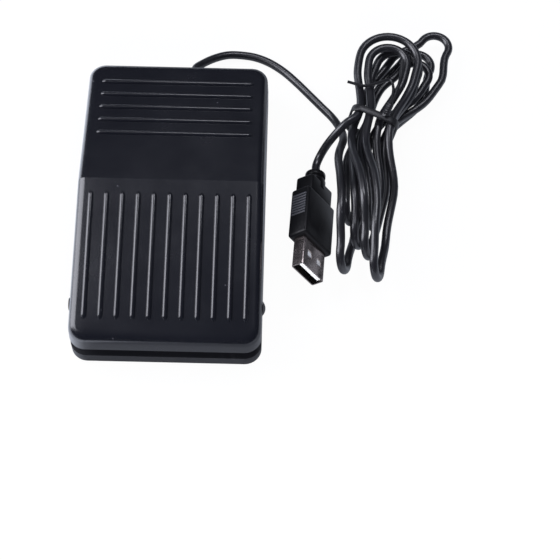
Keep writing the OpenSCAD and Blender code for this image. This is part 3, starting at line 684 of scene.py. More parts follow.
def curve_to_mesh(piece: Piece) -> Piece:
    """Turns a curve into a smooth mesh piece, and returns it."""
    make_active(piece)
    bpy.ops.object.convert(target="MESH")
    return shade(bpy.context.object, 50.0)


def flowing(points: Sequence[Vector], steps: int) -> list[Vector]:
    """Returns points on a smooth line through given points.

    Args:
        points: the places that it passes.
        steps: how many points each stretch gets.
    """
    held = [2 * points[0] - points[1], *points, 2 * points[-1] - points[-2]]
    made: list[Vector] = []
    for a, b, c, d in zip(held, held[1:], held[2:], held[3:]):
        t0, t1 = 0.0, math.sqrt((b - a).length)
        t2 = t1 + math.sqrt((c - b).length)
        t3 = t2 + math.sqrt((d - c).length)
        for k in range(steps):
            t = mix(t1, t2, k / steps)
            a1 = a.lerp(b, (t - t0) / (t1 - t0))
            a2 = b.lerp(c, (t - t1) / (t2 - t1))
            a3 = c.lerp(d, (t - t2) / (t3 - t2))
            b1 = a1.lerp(a2, (t - t0) / (t2 - t0))
            b2 = a2.lerp(a3, (t - t1) / (t3 - t1))
            made.append(b1.lerp(b2, (t - t1) / (t2 - t1)))
    made.append(points[-1].copy())
    return made


# Stage


@dataclass(frozen=True)
class Lamp:
    """A rectangular soft lamp that faces the object, in metres and watts."""

    name: str
    place: Point
    width: float
    height: float
    power: float
    tint: Point = (0.9, 0.91, 1.0)
    mirrored: bool = True

    def hang(self, target: Vector) -> None:
        """Hangs the lamp.

        Args:
            target: the point that it faces.
        """
        data = bpy.data.lights.new(self.name, "AREA")
        data.shape = "RECTANGLE"
        data.size, data.size_y = self.width, self.height
        data.energy = self.power
        data.color = self.tint
        lamp = bpy.data.objects.new(self.name, data)
        lamp.location = self.place
        lamp.rotation_mode = "QUATERNION"
        lamp.rotation_quaternion = (target - Vector(self.place)).to_track_quat("-Z", "Y")
        lamp.visible_glossy = self.mirrored
        bpy.context.scene.collection.objects.link(lamp)


@dataclass
class Studio:
    """Camera, soft lamps, pale floor and surroundings."""

    look_at: Point = (0.035936, -0.021014, 0.0)
    distance: float = 0.513787
    azimuth: float = -0.262
    elevation: float = 62.975
    roll: float = 1.565
    lens: float = 100.207
    lamps: tuple[Lamp, ...] = (
        Lamp("left_softbox", (-0.5, 0.1, 0.36), 0.4, 0.7, 4.2),
        Lamp("rear_softbox", (0.12, 0.4, 0.82), 0.5, 0.16, 1.8),
        Lamp(
            "front_fill", (0.06, -0.55, 0.3), 0.3, 0.3, 3.0,
            tint=(1.0, 0.98, 0.98), mirrored=False,
        ),
    )
    lit_point: Point = (0.02, 0.0, 0.01)
    sky_tint: Colour = (0.74, 0.8, 1.0)
    sky_strength: float = 0.55
    sky_mirrored: Pair = (0.04, 0.08)
    floor_tint: Colour = (0.82, 0.87, 1.0)
    floor_glow: float = 0.95

    def place_camera(self) -> None:
        """Sets the camera at the fitted viewpoint."""
        data = bpy.data.cameras.new("camera")
        data.lens = self.lens
        data.sensor_width = 36.0
        data.clip_start, data.clip_end = 0.01, 50.0
        camera = bpy.data.objects.new("camera", data)
        turn = turned((self.azimuth, "Z"), (90 - self.elevation, "X"), (self.roll, "Z"))
        away = Matrix.Translation((0, 0, self.distance))
        camera.matrix_world = Matrix.Translation(self.look_at) @ turn @ away
        bpy.context.scene.collection.objects.link(camera)
        bpy.context.scene.camera = camera

    def light(self) -> None:
        """Hangs the lamps and sets the surroundings, which the camera sees as white."""
        for lamp in self.lamps:
            lamp.hang(Vector(self.lit_point))
        world = bpy.data.worlds.new("surroundings")
        world.use_nodes = True
        bpy.context.scene.world = world
        links = Links(world.node_tree)
        shown = world.node_tree.nodes["Background"].inputs
        ray = links.add("LightPath").outputs
        camera = ray["Is Camera Ray"]
        glossy = links.number(Op.LARGER, ray["Is Glossy Ray"], ray["Is Transmission Ray"])
        height = links.axis(links.add("TexCoord").outputs["Generated"], "Z")
        mirrored = links.ramp(height, *self.sky_mirrored, 0.1, 0.9)
        strength = links.blend(glossy, self.sky_strength, mirrored)
        links.feed(shown["Color"], links.colour(camera, self.sky_tint, WHITE))
        links.feed(shown["Strength"], links.blend(camera, strength, 1.0))

    def lay_floor(self) -> None:
        """Lays a white floor that keeps the object's soft shadow.

        Glossy pieces mirror it bright on the left, where the light comes from, and dim elsewhere.
        """
        clear_selection()
        bpy.ops.mesh.primitive_plane_add(size=12.0, location=(0, 0, -0.0002))
        floor = bpy.context.object
        floor.name = "floor"
        made, links, shader, coords = start_material("white_floor")
        shader.inputs["Base Color"].default_value = (0.9, 0.9, 0.9, 1.0)
        shader.inputs["Roughness"].default_value = 0.9
        shader.inputs["Specular IOR Level"].default_value = 0.0
        ray = links.add("LightPath").outputs
        camera = ray["Is Camera Ray"]
        across = links.axis(coords, "X")
        left = links.ramp(across, 2.5, 0.4, -0.045, -0.025)
        right = links.ramp(across, 0.0, 0.6, 0.04, 0.06)
        strength = links.blend(camera, links.number(Op.LARGER, left, right), 1.0)
        tint = links.colour(camera, self.floor_tint, WHITE)
        glow = links.add("Emission", Color=tint, Strength=strength)
        seen = links.number(Op.LARGER, camera, ray["Is Glossy Ray"])
        blend = links.add("MixShader")
        share = links.number(Op.TIMES, seen, self.floor_glow)
        for index, value in enumerate((share, shader.outputs[0], glow.outputs[0])):
            links.feed(blend.inputs[index], value)
        out = made.node_tree.nodes["Material Output"]
        links.feed(out.inputs["Surface"], blend.outputs[0])
        floor.data.materials.append(made)


# Lead, hank and tie


class Assembly:
    """A sub-assembly that is built as one piece and then dressed."""

    def build(self) -> Piece:
        """Returns the piece's mesh or curve."""
        raise NotImplementedError

    def dress(self, piece: Piece) -> None:
        """Puts the finish on the piece and says which body it rides on."""
        raise NotImplementedError

    def make(self) -> Piece:
        """Builds, dresses and logs the piece, and returns it."""
        piece = self.build()
        self.dress(piece)
        LOG.info("%s made", piece.name)
        return piece


@dataclass
class Hank:
    """The wound lead: layers of loops drawn in at the waist, in millimetres.

    Lists have one value for each loop, in the order in which it is wound.
    """

    cord_r: float = 1.4
    layers: int = 4
    layer_turns: float = 1.5
    turn_step: float = 3.65
    waist_step: float = 3.8
    layer_step: float = 3.55
    fold_r: float = 5.0
    waist_r: float = 0.95
    waist: Pair = (67.0, 34.0)
    waist_lean: float = 19.0
    far_lean: tuple[float, ...] = (27.0, 31.0, 31.0, 19.0, 11.0, 11.0)
    far_run: tuple[float, ...] = (34.0, 28.0, 42.0, 25.0, 24.2, 25.4)
    far_fold_r: tuple[float, ...] = (5.2, 5.0, 5.0, 7.4, 6.6, 10.1)
    near_lean: tuple[float, ...] = (6.0, 6.0, 5.8, 5.5, 5.3, 5.3)
    near_run: tuple[float, ...] = (52.0, 34.0, 43.0, 47.0, 36.0, 55.0)
    far_open: float = 20.0
    near_open: float = 34.0
    close_l: float = 12.0
    far_bend: float = 24.0
    near_bend: float = 26.0
    near_tilt: float = -74.0
    tilt_from: float = 10.0
    tilt_l: float = 50.0
    tilt_lift: float = 6.4
    floor: float = 1.5
    waist_lift: float = 1.5
    lift_l: float = 15.0
    inner_climb: float = 0.25
    outer_climb: float = 0.1
    start: float = 0.032
    short: float = 0.025
    loop_points: int = 120

    @property
    def turns(self) -> float:
        """Returns how many loops there are."""
        return self.layers * self.layer_turns

    def layers_up(self, t: float) -> float:
        """Returns how many layers up the lead is after t turns."""
        climbs = {k: self.inner_climb if k % 2 else self.outer_climb for k in range(1, self.layers)}
        steps = ((t - k * self.layer_turns) / climb + 0.5 for k, climb in climbs.items())
        return sum(smooth_step(step) for step in steps)

    def half_width(self, along: float, run: float, out: float, fold: float, opens: float) -> float:
        """Returns a loop's half width at a distance from the waist.

        Args:
            along: the distance from the waist.
            run: where the loop's straight part ends.
            out: how many turns the loop is out from the innermost one.
            fold: the radius of its fold.
            opens: the length over which it opens from the waist.
        """
        drawn_in = self.waist_r + out * self.waist_step
        wide = mix(drawn_in, self.fold_r + out * self.turn_step, smooth_step(along / opens))
        return mix(wide, fold, smooth_step((along - run) / self.close_l + 1))

    def flat(self, t: float) -> Pair:
        """Returns the place after t turns in the hank's own plane, sideways and lengthways."""
        n = math.floor(t)
        f = t - n
        m = t % (2 * self.layer_turns)
        out = self.layer_turns - (m if m < self.layer_turns else 2 * self.layer_turns - m)
        far, near, far_r = self.far_run[n], self.near_run[n], self.far_fold_r[n]
        if 1 / 6 <= f < 1 / 3:
            a = math.radians(180 + (f - 1 / 6) * 1080)
            return self.fold_r * math.cos(a), self.fold_r * math.sin(a) - near
        if 2 / 3 <= f < 5 / 6:
            a = math.radians((f - 2 / 3) * 1080)
            return far_r * math.cos(a), far_r * math.sin(a) + far
        side = 1 if 1 / 3 <= f < 2 / 3 else -1
        s = (f - 1 / 2) * 6 if side > 0 else (f if f < 1 / 2 else f - 1) * -6
        if s > 0:
            return side * self.half_width(s * far, far, out, far_r, self.far_open), s * far
        return side * self.half_width(-s * near, near, out, self.fold_r, self.near_open), s * near

    def tilt(self, along: float) -> float:
        """Returns the hank's tilt about its length at a place along it, in radians."""
        return math.radians(self.near_tilt) * smooth_step((self.tilt_from - along) / self.tilt_l)

    def middle(self, along: float) -> float:
        """Returns the height of the hank's middle at a place along it."""
        lift = self.waist_lift * (1 - smooth_step(abs(along) / self.lift_l))
        lift += self.tilt_lift * abs(math.sin(self.tilt(along)))
        return self.floor + (self.layers - 1) / 2 * self.layer_step + lift

    def place(self, t: float) -> Vector:
        """Returns the lead's place after t turns, in metres."""
        u, s = self.flat(t)
        n = math.floor(t)
        up = (self.layers_up(t) - (self.layers - 1) / 2) * self.layer_step
        tilt = self.tilt(s)
        x = u * math.cos(tilt) - up * math.sin(tilt)
        z = self.middle(s) + u * math.sin(tilt) + up * math.cos(tilt)
        far = mix(self.waist_lean, self.far_lean[n], smooth_step(s / self.far_bend))
        near = mix(self.waist_lean, self.near_lean[n], smooth_step(-s / self.near_bend))
        a = math.radians(far if s > 0 else near)
        across = x * math.cos(a) + s * math.sin(a)
        along = s * math.cos(a) - x * math.sin(a)
        return mm(self.waist[0] + across, self.waist[1] + along, z)

    def points(self) -> list[Vector]:
        """Returns the hank's whole way."""
        n = round(self.loop_points * self.turns)
        last = self.turns - self.short
        return [self.place(mix(self.start, last, i / n)) for i in range(n + 1)]


@dataclass
class PlugPose:
    """Where the plug lies: the middle of its mouth, and its turn, tilt and roll."""

    mouth: Point = (44.7, -25.3, 13.1)
    turn: float = -3.3
    tilt: float = -9.0
    roll: float = 54.0
    length: float = 41.5

    def matrix(self) -> Matrix:
        """Returns the matrix from the plug's own frame to the part's frame."""
        turn = turned((self.turn, "Z"), (self.tilt, "X"), (self.roll, "Y"))
        return Matrix.Translation(mm(*self.mouth)) @ turn

    def along(self, y: float) -> Vector:
        """Returns the point on the plug's axis y millimetres behind its mouth."""
        return self.matrix() @ mm(0, y, 0)


@dataclass
class Lead(Assembly):
    """The lead from the gland through the hank to the plug, as one cord."""

    hank: Hank
    plug: PlugPose
    outlet: Pair = (4.5, 6.4)
    inside_y: float = 47.7
    gland_tip_y: float = 53.6
    stub: float = 1.5
    way_out: tuple[Point, ...] = (
        (5, 58.2, 6), (7.1, 60.9, 4.8), (11.4, 64.7, 3), (15.8, 66.8, 2), (20.4, 67.2, 1.5),
        (25.4, 66.4, 1.5), (30.4, 64.3, 1.5), (35.5, 60.7, 1.5), (40, 56.3, 1.5), (44.5, 51.3, 1.5),
        (49, 46.2, 1.5), (52.8, 41.8, 1.6), (54.9, 37.8, 2.7), (56.2, 33.4, 4.7),
    )
    way_in: tuple[Point, ...] = (
        (60.1, 33.2, 15.8), (57.2, 30.8, 15.9), (54.6, 28.6, 14.3), (52.2, 26.8, 11.7),
        (50.1, 25, 8.8), (48.4, 22.7, 6.5),
    )
    length: float = 1.256

    def route(self) -> list[Vector]:
        """Returns the cord's whole way, in metres."""
        d = 2 * self.hank.cord_r * MM
        wound = self.hank.points()
        first_dir = (wound[2] - wound[0]).normalized()
        last_dir = (wound[-1] - wound[-3]).normalized()
        x, z = self.outlet
        end = self.plug.along(self.plug.length)
        behind = (self.plug.along(1) - self.plug.along(0)).normalized()
        straight = (self.inside_y, self.gland_tip_y, self.gland_tip_y + self.stub)
        out = [mm(x, y, z) for y in straight] + [mm(*p) for p in self.way_out]
        out += [wound[0] - d * first_dir, wound[0]]
        back = [wound[-1], wound[-1] + d * last_dir] + [mm(*p) for p in self.way_in]
        back += [end + 1.5 * d * behind, end + d / 2 * behind, end]
        return flowing(out, 8)[:-1] + wound + flowing(back, 8)[1:]

    def build(self) -> Piece:
        """Returns the cord's curve."""
        return tube_along("lead_cord", self.route(), self.hank.cord_r * MM, 5)

    def dress(self, piece: Piece) -> None:
        """Puts the jacket's finish on the cord and lets it ride on the base."""
        CORD_JACKET.dress(piece)
        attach(piece, "base")
        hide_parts("cable_lead", "cable_hank", "cable_tail")

    def declare(self, cord: Piece, pieces: Sequence[Piece]) -> None:
        """Works out the point where the cord leaves the base inside, and does nothing more with it.
        """
        x, z = self.outlet
        mm(x, self.inside_y, z)


@dataclass
class TwistTie(Assembly):
    """A coated wire strip round the hank's waist, twisted on top."""

    hank: Hank
    width: float = 2.5
    thick: float = 0.8
    corner: float = 3.4
    room: float = 0.65
    room_above: float = 0.3
    strand_r: float = 0.62
    strand_turn: float = 0.62
    long_r: float = 0.5
    short_r: float = 0.55
    knot: tuple[Point, ...] = ((70.2, 33.3, 17.2), (71, 35.8, 17), (71.9, 38.2, 16.5))
    long_end: tuple[Point, ...] = (
        (71.6, 37.3, 16.4), (72.6, 41.6, 15.9), (73, 46, 15.2), (72, 49.1, 14.9),
        (68.2, 47.9, 14.9), (63.5, 46.4, 14.9), (57.5, 48, 14.8),
    )
    short_end: tuple[Point, ...] = (
        (71.5, 37, 16.3), (74, 43.6, 15.6), (75.6, 50.5, 14.9), (76.3, 57.7, 14.7),
    )

    def band(self) -> Piece:
        """Returns the strip round the waist: a block drawn out to a ring with round corners."""
        h = self.hank
        left = h.waist_r + h.layer_turns * h.waist_step + h.cord_r + self.room
        right = h.waist_r + (h.layer_turns - 0.5) * h.waist_step + h.cord_r + self.room
        low = -(h.layers - 1) / 2 * h.layer_step - h.cord_r - self.room
        high = (h.layers - 1) / 2 * h.layer_step + h.cord_r + self.room_above
        size = mm(left + right + 2 * self.thick, self.width, high - low + 2 * self.thick)
        outer = add_block("tie_wire", size, mm((right - left) / 2, 0, (high + low) / 2))
        with edit_mode(outer):
            pick(outer, Element.EDGE, lambda e: span(e, 1) > 1 * MM)
            bpy.ops.mesh.bevel(offset=self.corner * MM, segments=6, affect="EDGES")
            pick(outer, Element.FACE, lambda f: abs(f.normal.y) > 0.9)
            bpy.ops.mesh.inset(thickness=self.thick * MM)
            bpy.ops.mesh.bridge_edge_loops()
        bevel_edges(outer, 0.25 * MM, 2)
        turn = turned((-h.waist_lean, "Z"), (-math.degrees(h.tilt(0)), "Y"))
        outer.data.transform(Matrix.Translation(mm(*h.waist, h.middle(0))) @ turn)
        return outer

    def twist(self) -> list[Piece]:
        """Returns the two strands that wind round each other in the knot."""
        line = flowing([mm(*p) for p in self.knot], 14)
        made = []
        for phase in (0.0, math.pi):
            way = []
            for i, p in enumerate(line):
                ahead = (line[min(i + 1, len(line) - 1)] - line[max(i - 1, 0)]).normalized()
                side = ahead.cross(Vector((0, 0, 1))).normalized()
                up = side.cross(ahead)
                a = phase + i * self.strand_turn
                way.append(p + self.strand_r * MM * (side * math.cos(a) + up * math.sin(a)))
            made.append(curve_to_mesh(tube_along("tie_strand", way, self.strand_r * MM, 3)))
        return made

    def build(self) -> Piece:
        """Returns the whole tie: band, knot and two ends."""
        parts = self.twist()
        for name, way, radius in (
            ("tie_end", self.long_end, self.long_r),
            ("tie_flat_end", self.short_end, self.short_r),
        ):
            line = flowing([mm(*p) for p in way], 8)
            parts.append(curve_to_mesh(tube_along(name, line, radius * MM, 3)))
        return shade(join_pieces(self.band(), parts))

    def dress(self, piece: Piece) -> None:
        """Puts the coat's finish on the tie and lets it ride on the base."""
        TIE_COAT.dress(piece)
        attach(piece, "base")
        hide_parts("twist_tie")


# Pedal


@dataclass
class Treadle(Assembly):
    """The ribbed cover that the foot presses, in millimetres."""

    width: float = 61.0
    length: float = 104.0
    corner: float = 5.5
    ridge_z: float = 25.3
    ridge_y: float = 1.5
    rear_z: float = 17.8
    front_z: float = 16.3
    skirt_z: float = 9.5
    block_top: float = 20.0
    wall: float = 2.2
    edge: float = 2.6
    draft: float = 2.0
    rib_r: float = 0.9
    rib_h: float = 0.7
    rib_taper: float = 1.2
    long_ribs: int = 11
    long_pitch: float = 5.08
    long_length: float = 42.5
    long_start: float = 4.4
    cross_ribs: int = 5
    cross_pitch: float = 5.6
    cross_length: float = 51.0
    cross_start: float = 8.9
    hook_x: float = 18.0
    hook_y: float = 46.4
    hook_z: float = 7.4
    hook_w: float = 6.0
    hook_t: float = 1.6
    barb_l: float = 3.4
    barb_h: float = 1.6
    post_x: float = 20.2
    post_y: float = 24.0
    post_r: float = 2.5
    post_h: float = 2.5
    presser: Pair = (5.0, 3.0)
    presser_y: float = 19.625
    presser_z: float = 19.31
    presser_round: float = 1.45
    notch_r: float = 4.0
    notch_x: float = 4.5
    notch_y: Pair = (48.8, 54.0)
    notch_z: float = 9.9
    axle: Pair = (-37.5, 12.0)
    bore_r: float = 1.3
    bore_x: float = 40.0
    pocket_r: float = 2.3
    pocket_x: float = -29.15

    def roof(self, y: float) -> float:
        """Returns the height of the outer surface at y."""
        half = self.length / 2 - self.edge
        end, z = (half, self.rear_z) if y > self.ridge_y else (-half, self.front_z)
        return mix(self.ridge_z, z, (y - self.ridge_y) / (end - self.ridge_y))

    def draw_in(self, piece: Piece) -> None:
        """Moves the upper vertices of a block under edit to the roof, with the sides' draft."""
        mesh = bmesh.from_edit_mesh(piece.data)
        lean = math.tan(math.radians(self.draft))
        for v in mesh.verts:
            if v.co.z > (self.skirt_z + 1) * MM:
                v.co.z = self.roof(v.co.y / MM) * MM
                drawn = (v.co.z / MM - self.skirt_z) * lean * MM
                v.co.x -= math.copysign(drawn, v.co.x)
                if abs(v.co.y) > 30 * MM:
                    v.co.y -= math.copysign(drawn, v.co.y)
        bmesh.update_edit_mesh(piece.data)

    def shell(self) -> Piece:
        """Returns the hollow cover without its ribs."""

        def is_corner(e: Edge) -> bool:
            """Says whether an edge is one of the four upright ones."""
            return span(e, 2) > 4 * MM and all(abs(v.co.y) > 30 * MM for v in e.verts)

        def is_rim(e: Edge) -> bool:
            """Says whether an edge is between the roof and a side."""
            slopes = [f.normal.z for f in e.link_faces]
            return len(slopes) == 2 and min(slopes) < 0.5 < max(slopes)

        low, high = self.skirt_z, self.block_top
        size = mm(self.width, self.length, high - low)
        piece = add_block("treadle_cover", size, mm(0, 0, (high + low) / 2))
        with edit_mode(piece):
            bpy.ops.mesh.select_all(action="SELECT")
            bpy.ops.mesh.bisect(plane_co=mm(0, self.ridge_y, 0), plane_no=(0, 1, 0))
            self.draw_in(piece)
            for test, width, segments in ((is_corner, self.corner, 8), (is_rim, self.edge, 6)):
                pick(piece, Element.EDGE, test)
                bpy.ops.mesh.bevel(
                    offset=width * MM, segments=segments, affect="EDGES", clamp_overlap=False
                )
            pick(piece, Element.FACE, lambda f: f.normal.z < -0.9)
            bpy.ops.mesh.delete(type="FACE")
        thick = self.wall * MM
        return shape(piece, "wall", "SOLIDIFY", thickness=thick, offset=-1.0, use_even_offset=True)

    def rib(self, length: float) -> Piece:
        """Returns one rib from the origin along +Z: a bar drawn in at both ends."""
        taper = self.rib_taper * MM
        ends = Vector((0, 0, taper)), Vector((0, 0, length * MM - taper))
        bar = add_rod("rib", self.rib_r * MM, *ends, 20)
        with edit_mode(bar):
            for sign in (1, -1):
                pick(bar, Element.FACE, lambda f: f.normal.z * sign > 0.9)
                for share, size in ((0.6, 0.85), (0.4, 0.5)):
                    move = {"value": (0, 0, sign * taper * share)}
                    bpy.ops.mesh.extrude_region_move(TRANSFORM_OT_translate=move)
                    bpy.ops.transform.resize(value=(size, size, 1))
        return bar

    def rib_row(self, length: float, places: Iterable[Vector], turn: Matrix) -> list[Piece]:
        """Returns ribs of one length that start at some places, all turned alike."""
        pattern = self.rib(length)
        made = [copy_of(pattern, Matrix.Translation(place) @ turn) for place in places]
        bpy.data.objects.remove(pattern)
        return made

    def ribs(self) -> list[Piece]:
        """Returns every rib in its place on the cover."""
        sink = self.rib_r - self.rib_h
        run = self.length / 2 - self.edge + self.ridge_y
        slope = math.degrees(math.atan((self.ridge_z - self.front_z) / run))
        y = self.ridge_y - self.long_start
        half = (self.long_ribs - 1) / 2
        columns = [(i - half) * self.long_pitch for i in range(self.long_ribs)]
        long_starts = [mm(x, y, self.roof(y) - sink) for x in columns]
        first = self.length / 2 - self.cross_start
        rows = [first - i * self.cross_pitch for i in range(self.cross_ribs)]
        cross_starts = [mm(-self.cross_length / 2, y, self.roof(y) - sink) for y in rows]
        long_row = self.rib_row(self.long_length, long_starts, turned((90 + slope, "X")))
        return long_row + self.rib_row(self.cross_length, cross_starts, turned((90, "Y")))

    def hook(self, x: float) -> list[Piece]:
        """Returns the stem and the barb of a hook at x."""
        stem_h = self.roof(self.hook_y) - self.wall / 2 - self.hook_z
        made = []
        for name, l, h in (("hook", self.hook_t, stem_h), ("barb", self.barb_l, self.barb_h)):
            place = mm(x, self.hook_y - self.hook_t + l / 2, self.hook_z + h / 2)
            made.append(add_block(name, mm(self.hook_w, l, h), place))
        return made

    def post(self, x: float) -> Piece:
        """Returns a spring's post at x."""
        z = self.roof(self.post_y) - self.wall
        low, high = mm(x, self.post_y, z - self.post_h), mm(x, self.post_y, z + self.wall / 2)
        return add_rod("post", self.post_r * MM, low, high, 24)

    def presser_bar(self) -> Piece:
        """Returns the bar that presses the switch's lever, round at its lower end."""

        def is_lower(e: Edge) -> bool:
            """Says whether an edge runs across the bar's lower end."""
            below = (self.presser_z + 0.09) * MM
            return span(e, 0) > 1 * MM and all(v.co.z < below for v in e.verts)

        top = self.roof(self.presser_y) - self.wall / 2
        size = mm(*self.presser, top - self.presser_z)
        bar = add_block("presser", size, mm(0, self.presser_y, (top + self.presser_z) / 2))
        with edit_mode(bar):
            pick(bar, Element.EDGE, is_lower)
            bpy.ops.mesh.bevel(offset=self.presser_round * MM, segments=6, affect="EDGES")
        return bar

    def fittings(self) -> list[Piece]:
        """Returns what is moulded on inside: two hooks, two spring posts and the presser."""
        made = []
        for side in (-1, 1):
            for piece in (*self.hook(side * self.hook_x), self.post(side * self.post_x)):
                made.append(bevel_edges(piece, 0.3 * MM, 2))
        return [*made, self.presser_bar()]

    def build(self) -> Piece:
        """Returns the whole cover."""
        cover = self.shell()
        near, far = (mm(self.notch_x, y, self.notch_z) for y in self.notch_y)
        stops = (-self.bore_x, self.bore_x, self.pocket_x)
        left, right, pocket = (mm(x, *self.axle) for x in stops)
        cut_away(
            cover,
            add_rod("notch", self.notch_r * MM, near, far, 40),
            add_rod("bore", self.bore_r * MM, left, right, 24),
            add_rod("cap_pocket", self.pocket_r * MM, left, pocket, 40),
        )
        join_pieces(cover, self.ribs() + self.fittings())

        def is_ridge(e: Edge) -> bool:
            """Says whether an edge is on the ridge."""
            return all(abs(v.co.y - self.ridge_y * MM) < 0.06 * MM for v in e.verts)

        with edit_mode(cover):
            pick(cover, Element.EDGE, is_ridge)
            bpy.ops.mesh.mark_sharp()
        return shade(cover, 32.0)

    def dress(self, piece: Piece) -> None:
        """Puts the cover's finish on and lets it ride on its own body."""
        BLACK_COVER.dress(piece)
        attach(piece, "treadle")
        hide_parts("treadle")


@dataclass
class Plug(Assembly):
    """The plug's moulded grip, in its own frame in millimetres, mouth at the origin."""

    pose: PlugPose
    grip: Point = (15.6, 19.5, 7.2)
    grip_y: float = 11.0
    grip_round: float = 1.0
    pocket: Point = (12.02, 7.0, 4.52)
    pocket_depth: float = 6.0
    neck: Point = (12.2, 6.5, 6.7)
    neck_round: float = 0.9
    overlap: float = 1.5
    collar_r: float = 3.6
    collar_l: float = 4.5
    collar_steps: tuple[Point, ...] = ((-0.6, 0.32, 0.0), (0.2, 0.7, -0.6), (0.58, 1.0, -0.15))
    ridges: int = 8
    ridge: Pair = (0.5, 0.75)
    ridge_share: float = 0.76
    ridge_y: float = 19.6
    ridge_pitch: float = 1.1

    def slab(self, name: str, size: Point, y: float, round_by: float) -> Piece:
        """Returns a rounded block of the grip that starts at y."""
        piece = add_block(name, mm(*size), mm(0, y + size[1] / 2, 0))
        return bevel_edges(piece, round_by * MM, 4)

    def body(self) -> Piece:
        """Returns the grip's main block with the pocket for the shell."""
        made = self.slab("plug_grip", self.grip, self.grip_y, self.grip_round)
        middle = self.grip_y + self.pocket_depth - self.pocket[1] / 2
        return cut_away(made, add_block("pocket", mm(*self.pocket), mm(0, middle, 0)))

    def neck_and_collar(self) -> list[Piece]:
        """Returns the narrower block behind the grip and the collar's three rings."""
        y = self.grip_y + self.grip[1]
        w, l, t = self.neck
        made = [self.slab("neck", (w, l + self.overlap, t), y - self.overlap, self.neck_round)]
        for start, end, more in self.collar_steps:
            ends = (mm(0, y + l + share * self.collar_l, 0) for share in (start, end))
            ring = add_rod("collar", (self.collar_r + more) * MM, *ends, 40)
            made.append(bevel_edges(ring, 0.35 * MM, 3))
        return made

    def side_ridges(self) -> list[Piece]:
        """Returns the small bars on both sides of the grip."""
        size = mm(*self.ridge, self.grip[2] * self.ridge_share)
        made = []
        for side in (-1, 1):
            for i in range(self.ridges):
                y = self.ridge_y + i * self.ridge_pitch
                bar = add_block("ridge", size, mm(side * self.grip[0] / 2, y, 0))
                made.append(bevel_edges(bar, 0.2 * MM, 2))
        return made

    def build(self) -> Piece:
        """Returns the whole grip, its ridges in a paler colour that paints a highlight on them."""
        body, parts, ridges = self.body(), self.neck_and_collar(), self.side_ridges()
        PLUG_GRIP.dress(body, *parts)
        # The ridges' paler colour paints a highlight on them.
        PLUG_RIDGES_PAINTED_HIGHLIGHT.dress(*ridges)
        join_pieces(body, parts + ridges)
        body.data.transform(self.pose.matrix())
        return shade(body, 32.0)

    def dress(self, piece: Piece) -> None:
        """Lets the grip, which has its finishes, ride on the base."""
        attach(piece, "base")
        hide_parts("usb_grip")


@dataclass
class InnerJacket(Assembly):
    """The end of the lead's jacket inside the base, in millimetres."""

    outlet: Pair = (4.5, 6.4)
    reach: Pair = (38.4, 47.7)
    radius: float = 1.4

    def build(self) -> Piece:
        """Returns the jacket's end."""
        x, z = self.outlet
        line = [mm(x, y, z) for y in self.reach]
        return curve_to_mesh(tube_along("inner_jacket", line, self.radius * MM, 5))

    def dress(self, piece: Piece) -> None:
        """Puts the jacket's finish on and lets it ride on the base."""
        CORD_JACKET.dress(piece)
        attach(piece, "base")
        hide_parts("inner_cable")


@dataclass
class Cores(Assembly):
    """The lead's four cores from the jacket's end to the socket, in millimetres."""

    jacket: InnerJacket
    header: Pair = (31.6, 9.0)
    pitch: float = 2.0
    radius: float = 0.45
    offset: float = 0.55
    steps: int = 24

    def strand(self, index: int) -> Piece:
        """Returns one core, counted from the left."""
        x, z = self.jacket.outlet
        aside = -self.offset if index < 2 else self.offset
        above = -self.offset if index % 3 == 0 else self.offset
        start = (x + aside, self.jacket.reach[0], z + above)
        end = (x + (index - 1.5) * self.pitch, *self.header)
        way = []
        for k in range(self.steps + 1):
            share = k / self.steps
            bent = smooth_step((share - 0.15) / 0.55)
            way.append(mm(*(mix(a, b, m) for a, b, m in zip(start, end, (bent, share, bent)))))
        return curve_to_mesh(tube_along("core", way, self.radius * MM, 3))

    def build(self) -> Piece:
        """Returns the four cores as one piece."""
        first, *others = [self.strand(i) for i in range(4)]
        wires = join_pieces(first, others)
        wires.name = "core_strands"
        return wires

    def dress(self, piece: Piece) -> None:
        """Puts the sleeves' finish on and lets the cores ride on the base."""
        CORE_SLEEVE.dress(piece)
        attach(piece, "base")
        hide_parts("core_wires")


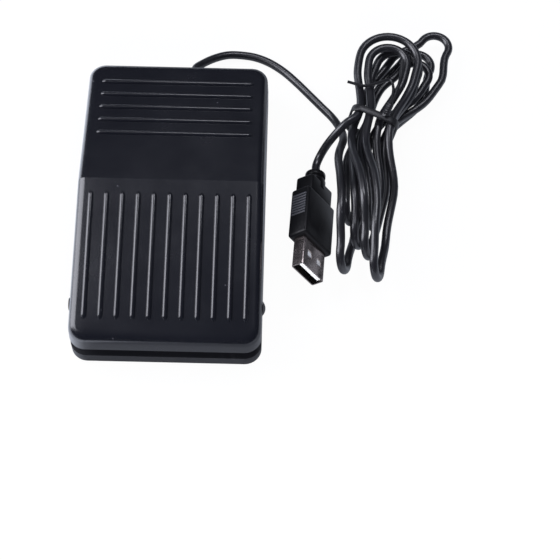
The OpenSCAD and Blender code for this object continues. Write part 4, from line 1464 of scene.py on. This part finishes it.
@dataclass
class CarriedNodes:
    """The solids that are shown as they are, each with its finish, in millimetres."""

    nodes: dict[str, Piece]
    pose: PlugPose
    mouth_half: Pair = (5.75, 1.97)
    spring_share: float = 0.8
    spring_foot: Point = (0, 24, 3)
    weld: float = 0.01
    finishes: dict[str, Finish] = field(default_factory=lambda: {
        "base_tray": BLACK_TRAY, "rubber_feet": FOOT_RUBBER, "hinge_axle": AXLE_BLACK,
        "axle_cap": AXLE_BLACK, "return_springs": SPRING_STEEL, "controller_board": BOARD_MASK,
        "board_screws": SCREW_ZINC, "controller_chip": CHIP_BLACK, "crystal_can": CAN_NICKEL,
        "filter_capacitor": CAP_SLEEVE, "chip_resistors": CHIP_CERAMIC,
        "core_header": HEADER_NYLON, "switch_body": CASE_BLACK, "switch_pins": PIN_TIN,
        "switch_lever": SPRING_STEEL, "switch_plunger": PLUNGER_RED, "cable_gland": GLAND_RUBBER,
        "cable_clamp": BLACK_TRAY, "clamp_screws": SCREW_ZINC, "usb_shell": SHELL_NICKEL,
        "usb_tongue": TONGUE_PLASTIC, "usb_contacts": CONTACT_GOLD,
    })
    soft_edges: dict[str, float] = field(default_factory=lambda: {
        "base_tray": 0.5, "usb_shell": 0.12, "cable_clamp": 0.25, "switch_body": 0.2,
    })

    def paint_mouth_shade(self) -> None:
        """Paints shade on the walls inside the plug's mouth: a near-black metal in place of the
        shadow there.
        """
        shell = self.nodes["usb_shell"]
        shell.data.materials.append(SHELL_PAINTED_SHADE.material())
        into = self.pose.matrix().inverted() @ shell.matrix_world
        half_x, half_z = self.mouth_half
        for face in shell.data.polygons:
            middle = into @ face.center / MM
            ahead = abs((into.to_3x3() @ face.normal).y) > 0.9
            if abs(middle.x) < half_x and abs(middle.z) < half_z and not ahead:
                face.material_index = 1

    def press_springs(self) -> None:
        """Gives the return springs a mesh of their own."""
        springs, foot = self.nodes["return_springs"], tuple(mm(*self.spring_foot))
        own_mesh(springs)
        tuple(foot)

    def dress(self) -> None:
        """Gives each carried solid its finish, paints shade inside the plug's mouth, and softens
        some edges.
        """
        for name, finish in self.finishes.items():
            finish.dress(self.nodes[name])
            LOG.info("%s dressed", name)
        # Painted shade: the faces inside the plug's mouth get the near-black metal.
        self.paint_mouth_shade()
        for name, width in self.soft_edges.items():
            modify(self.nodes[name], "weld", "WELD", merge_threshold=self.weld * MM)
            modify(self.nodes[name], "soft_edge", "BEVEL", **bevel_settings(width * MM, 3, 50))


def main() -> None:
    """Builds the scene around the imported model, piece by piece."""
    logging.basicConfig(level=logging.INFO, format="%(name)s: %(message)s")
    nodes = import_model()["nodes"]
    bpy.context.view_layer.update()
    studio = Studio()
    studio.place_camera()
    hank, pose = Hank(), PlugPose()
    lead = Lead(hank, pose)
    cord = lead.make()
    on_cord = [TwistTie(hank).make(), Plug(pose).make()]
    for name in ("cable_gland", "usb_shell", "usb_tongue", "usb_contacts"):
        on_cord.append(nodes[name])
    lead.declare(cord, on_cord)
    Treadle().make()
    jacket = InnerJacket()
    jacket.make()
    Cores(jacket).make()
    carried = CarriedNodes(nodes, pose)
    carried.dress()
    carried.press_springs()
    studio.light()
    studio.lay_floor()
    bpy.context.scene.view_settings.view_transform = "Standard"
    clear_selection()
    bpy.context.view_layer.update()


if __name__ == "__main__":
    main()
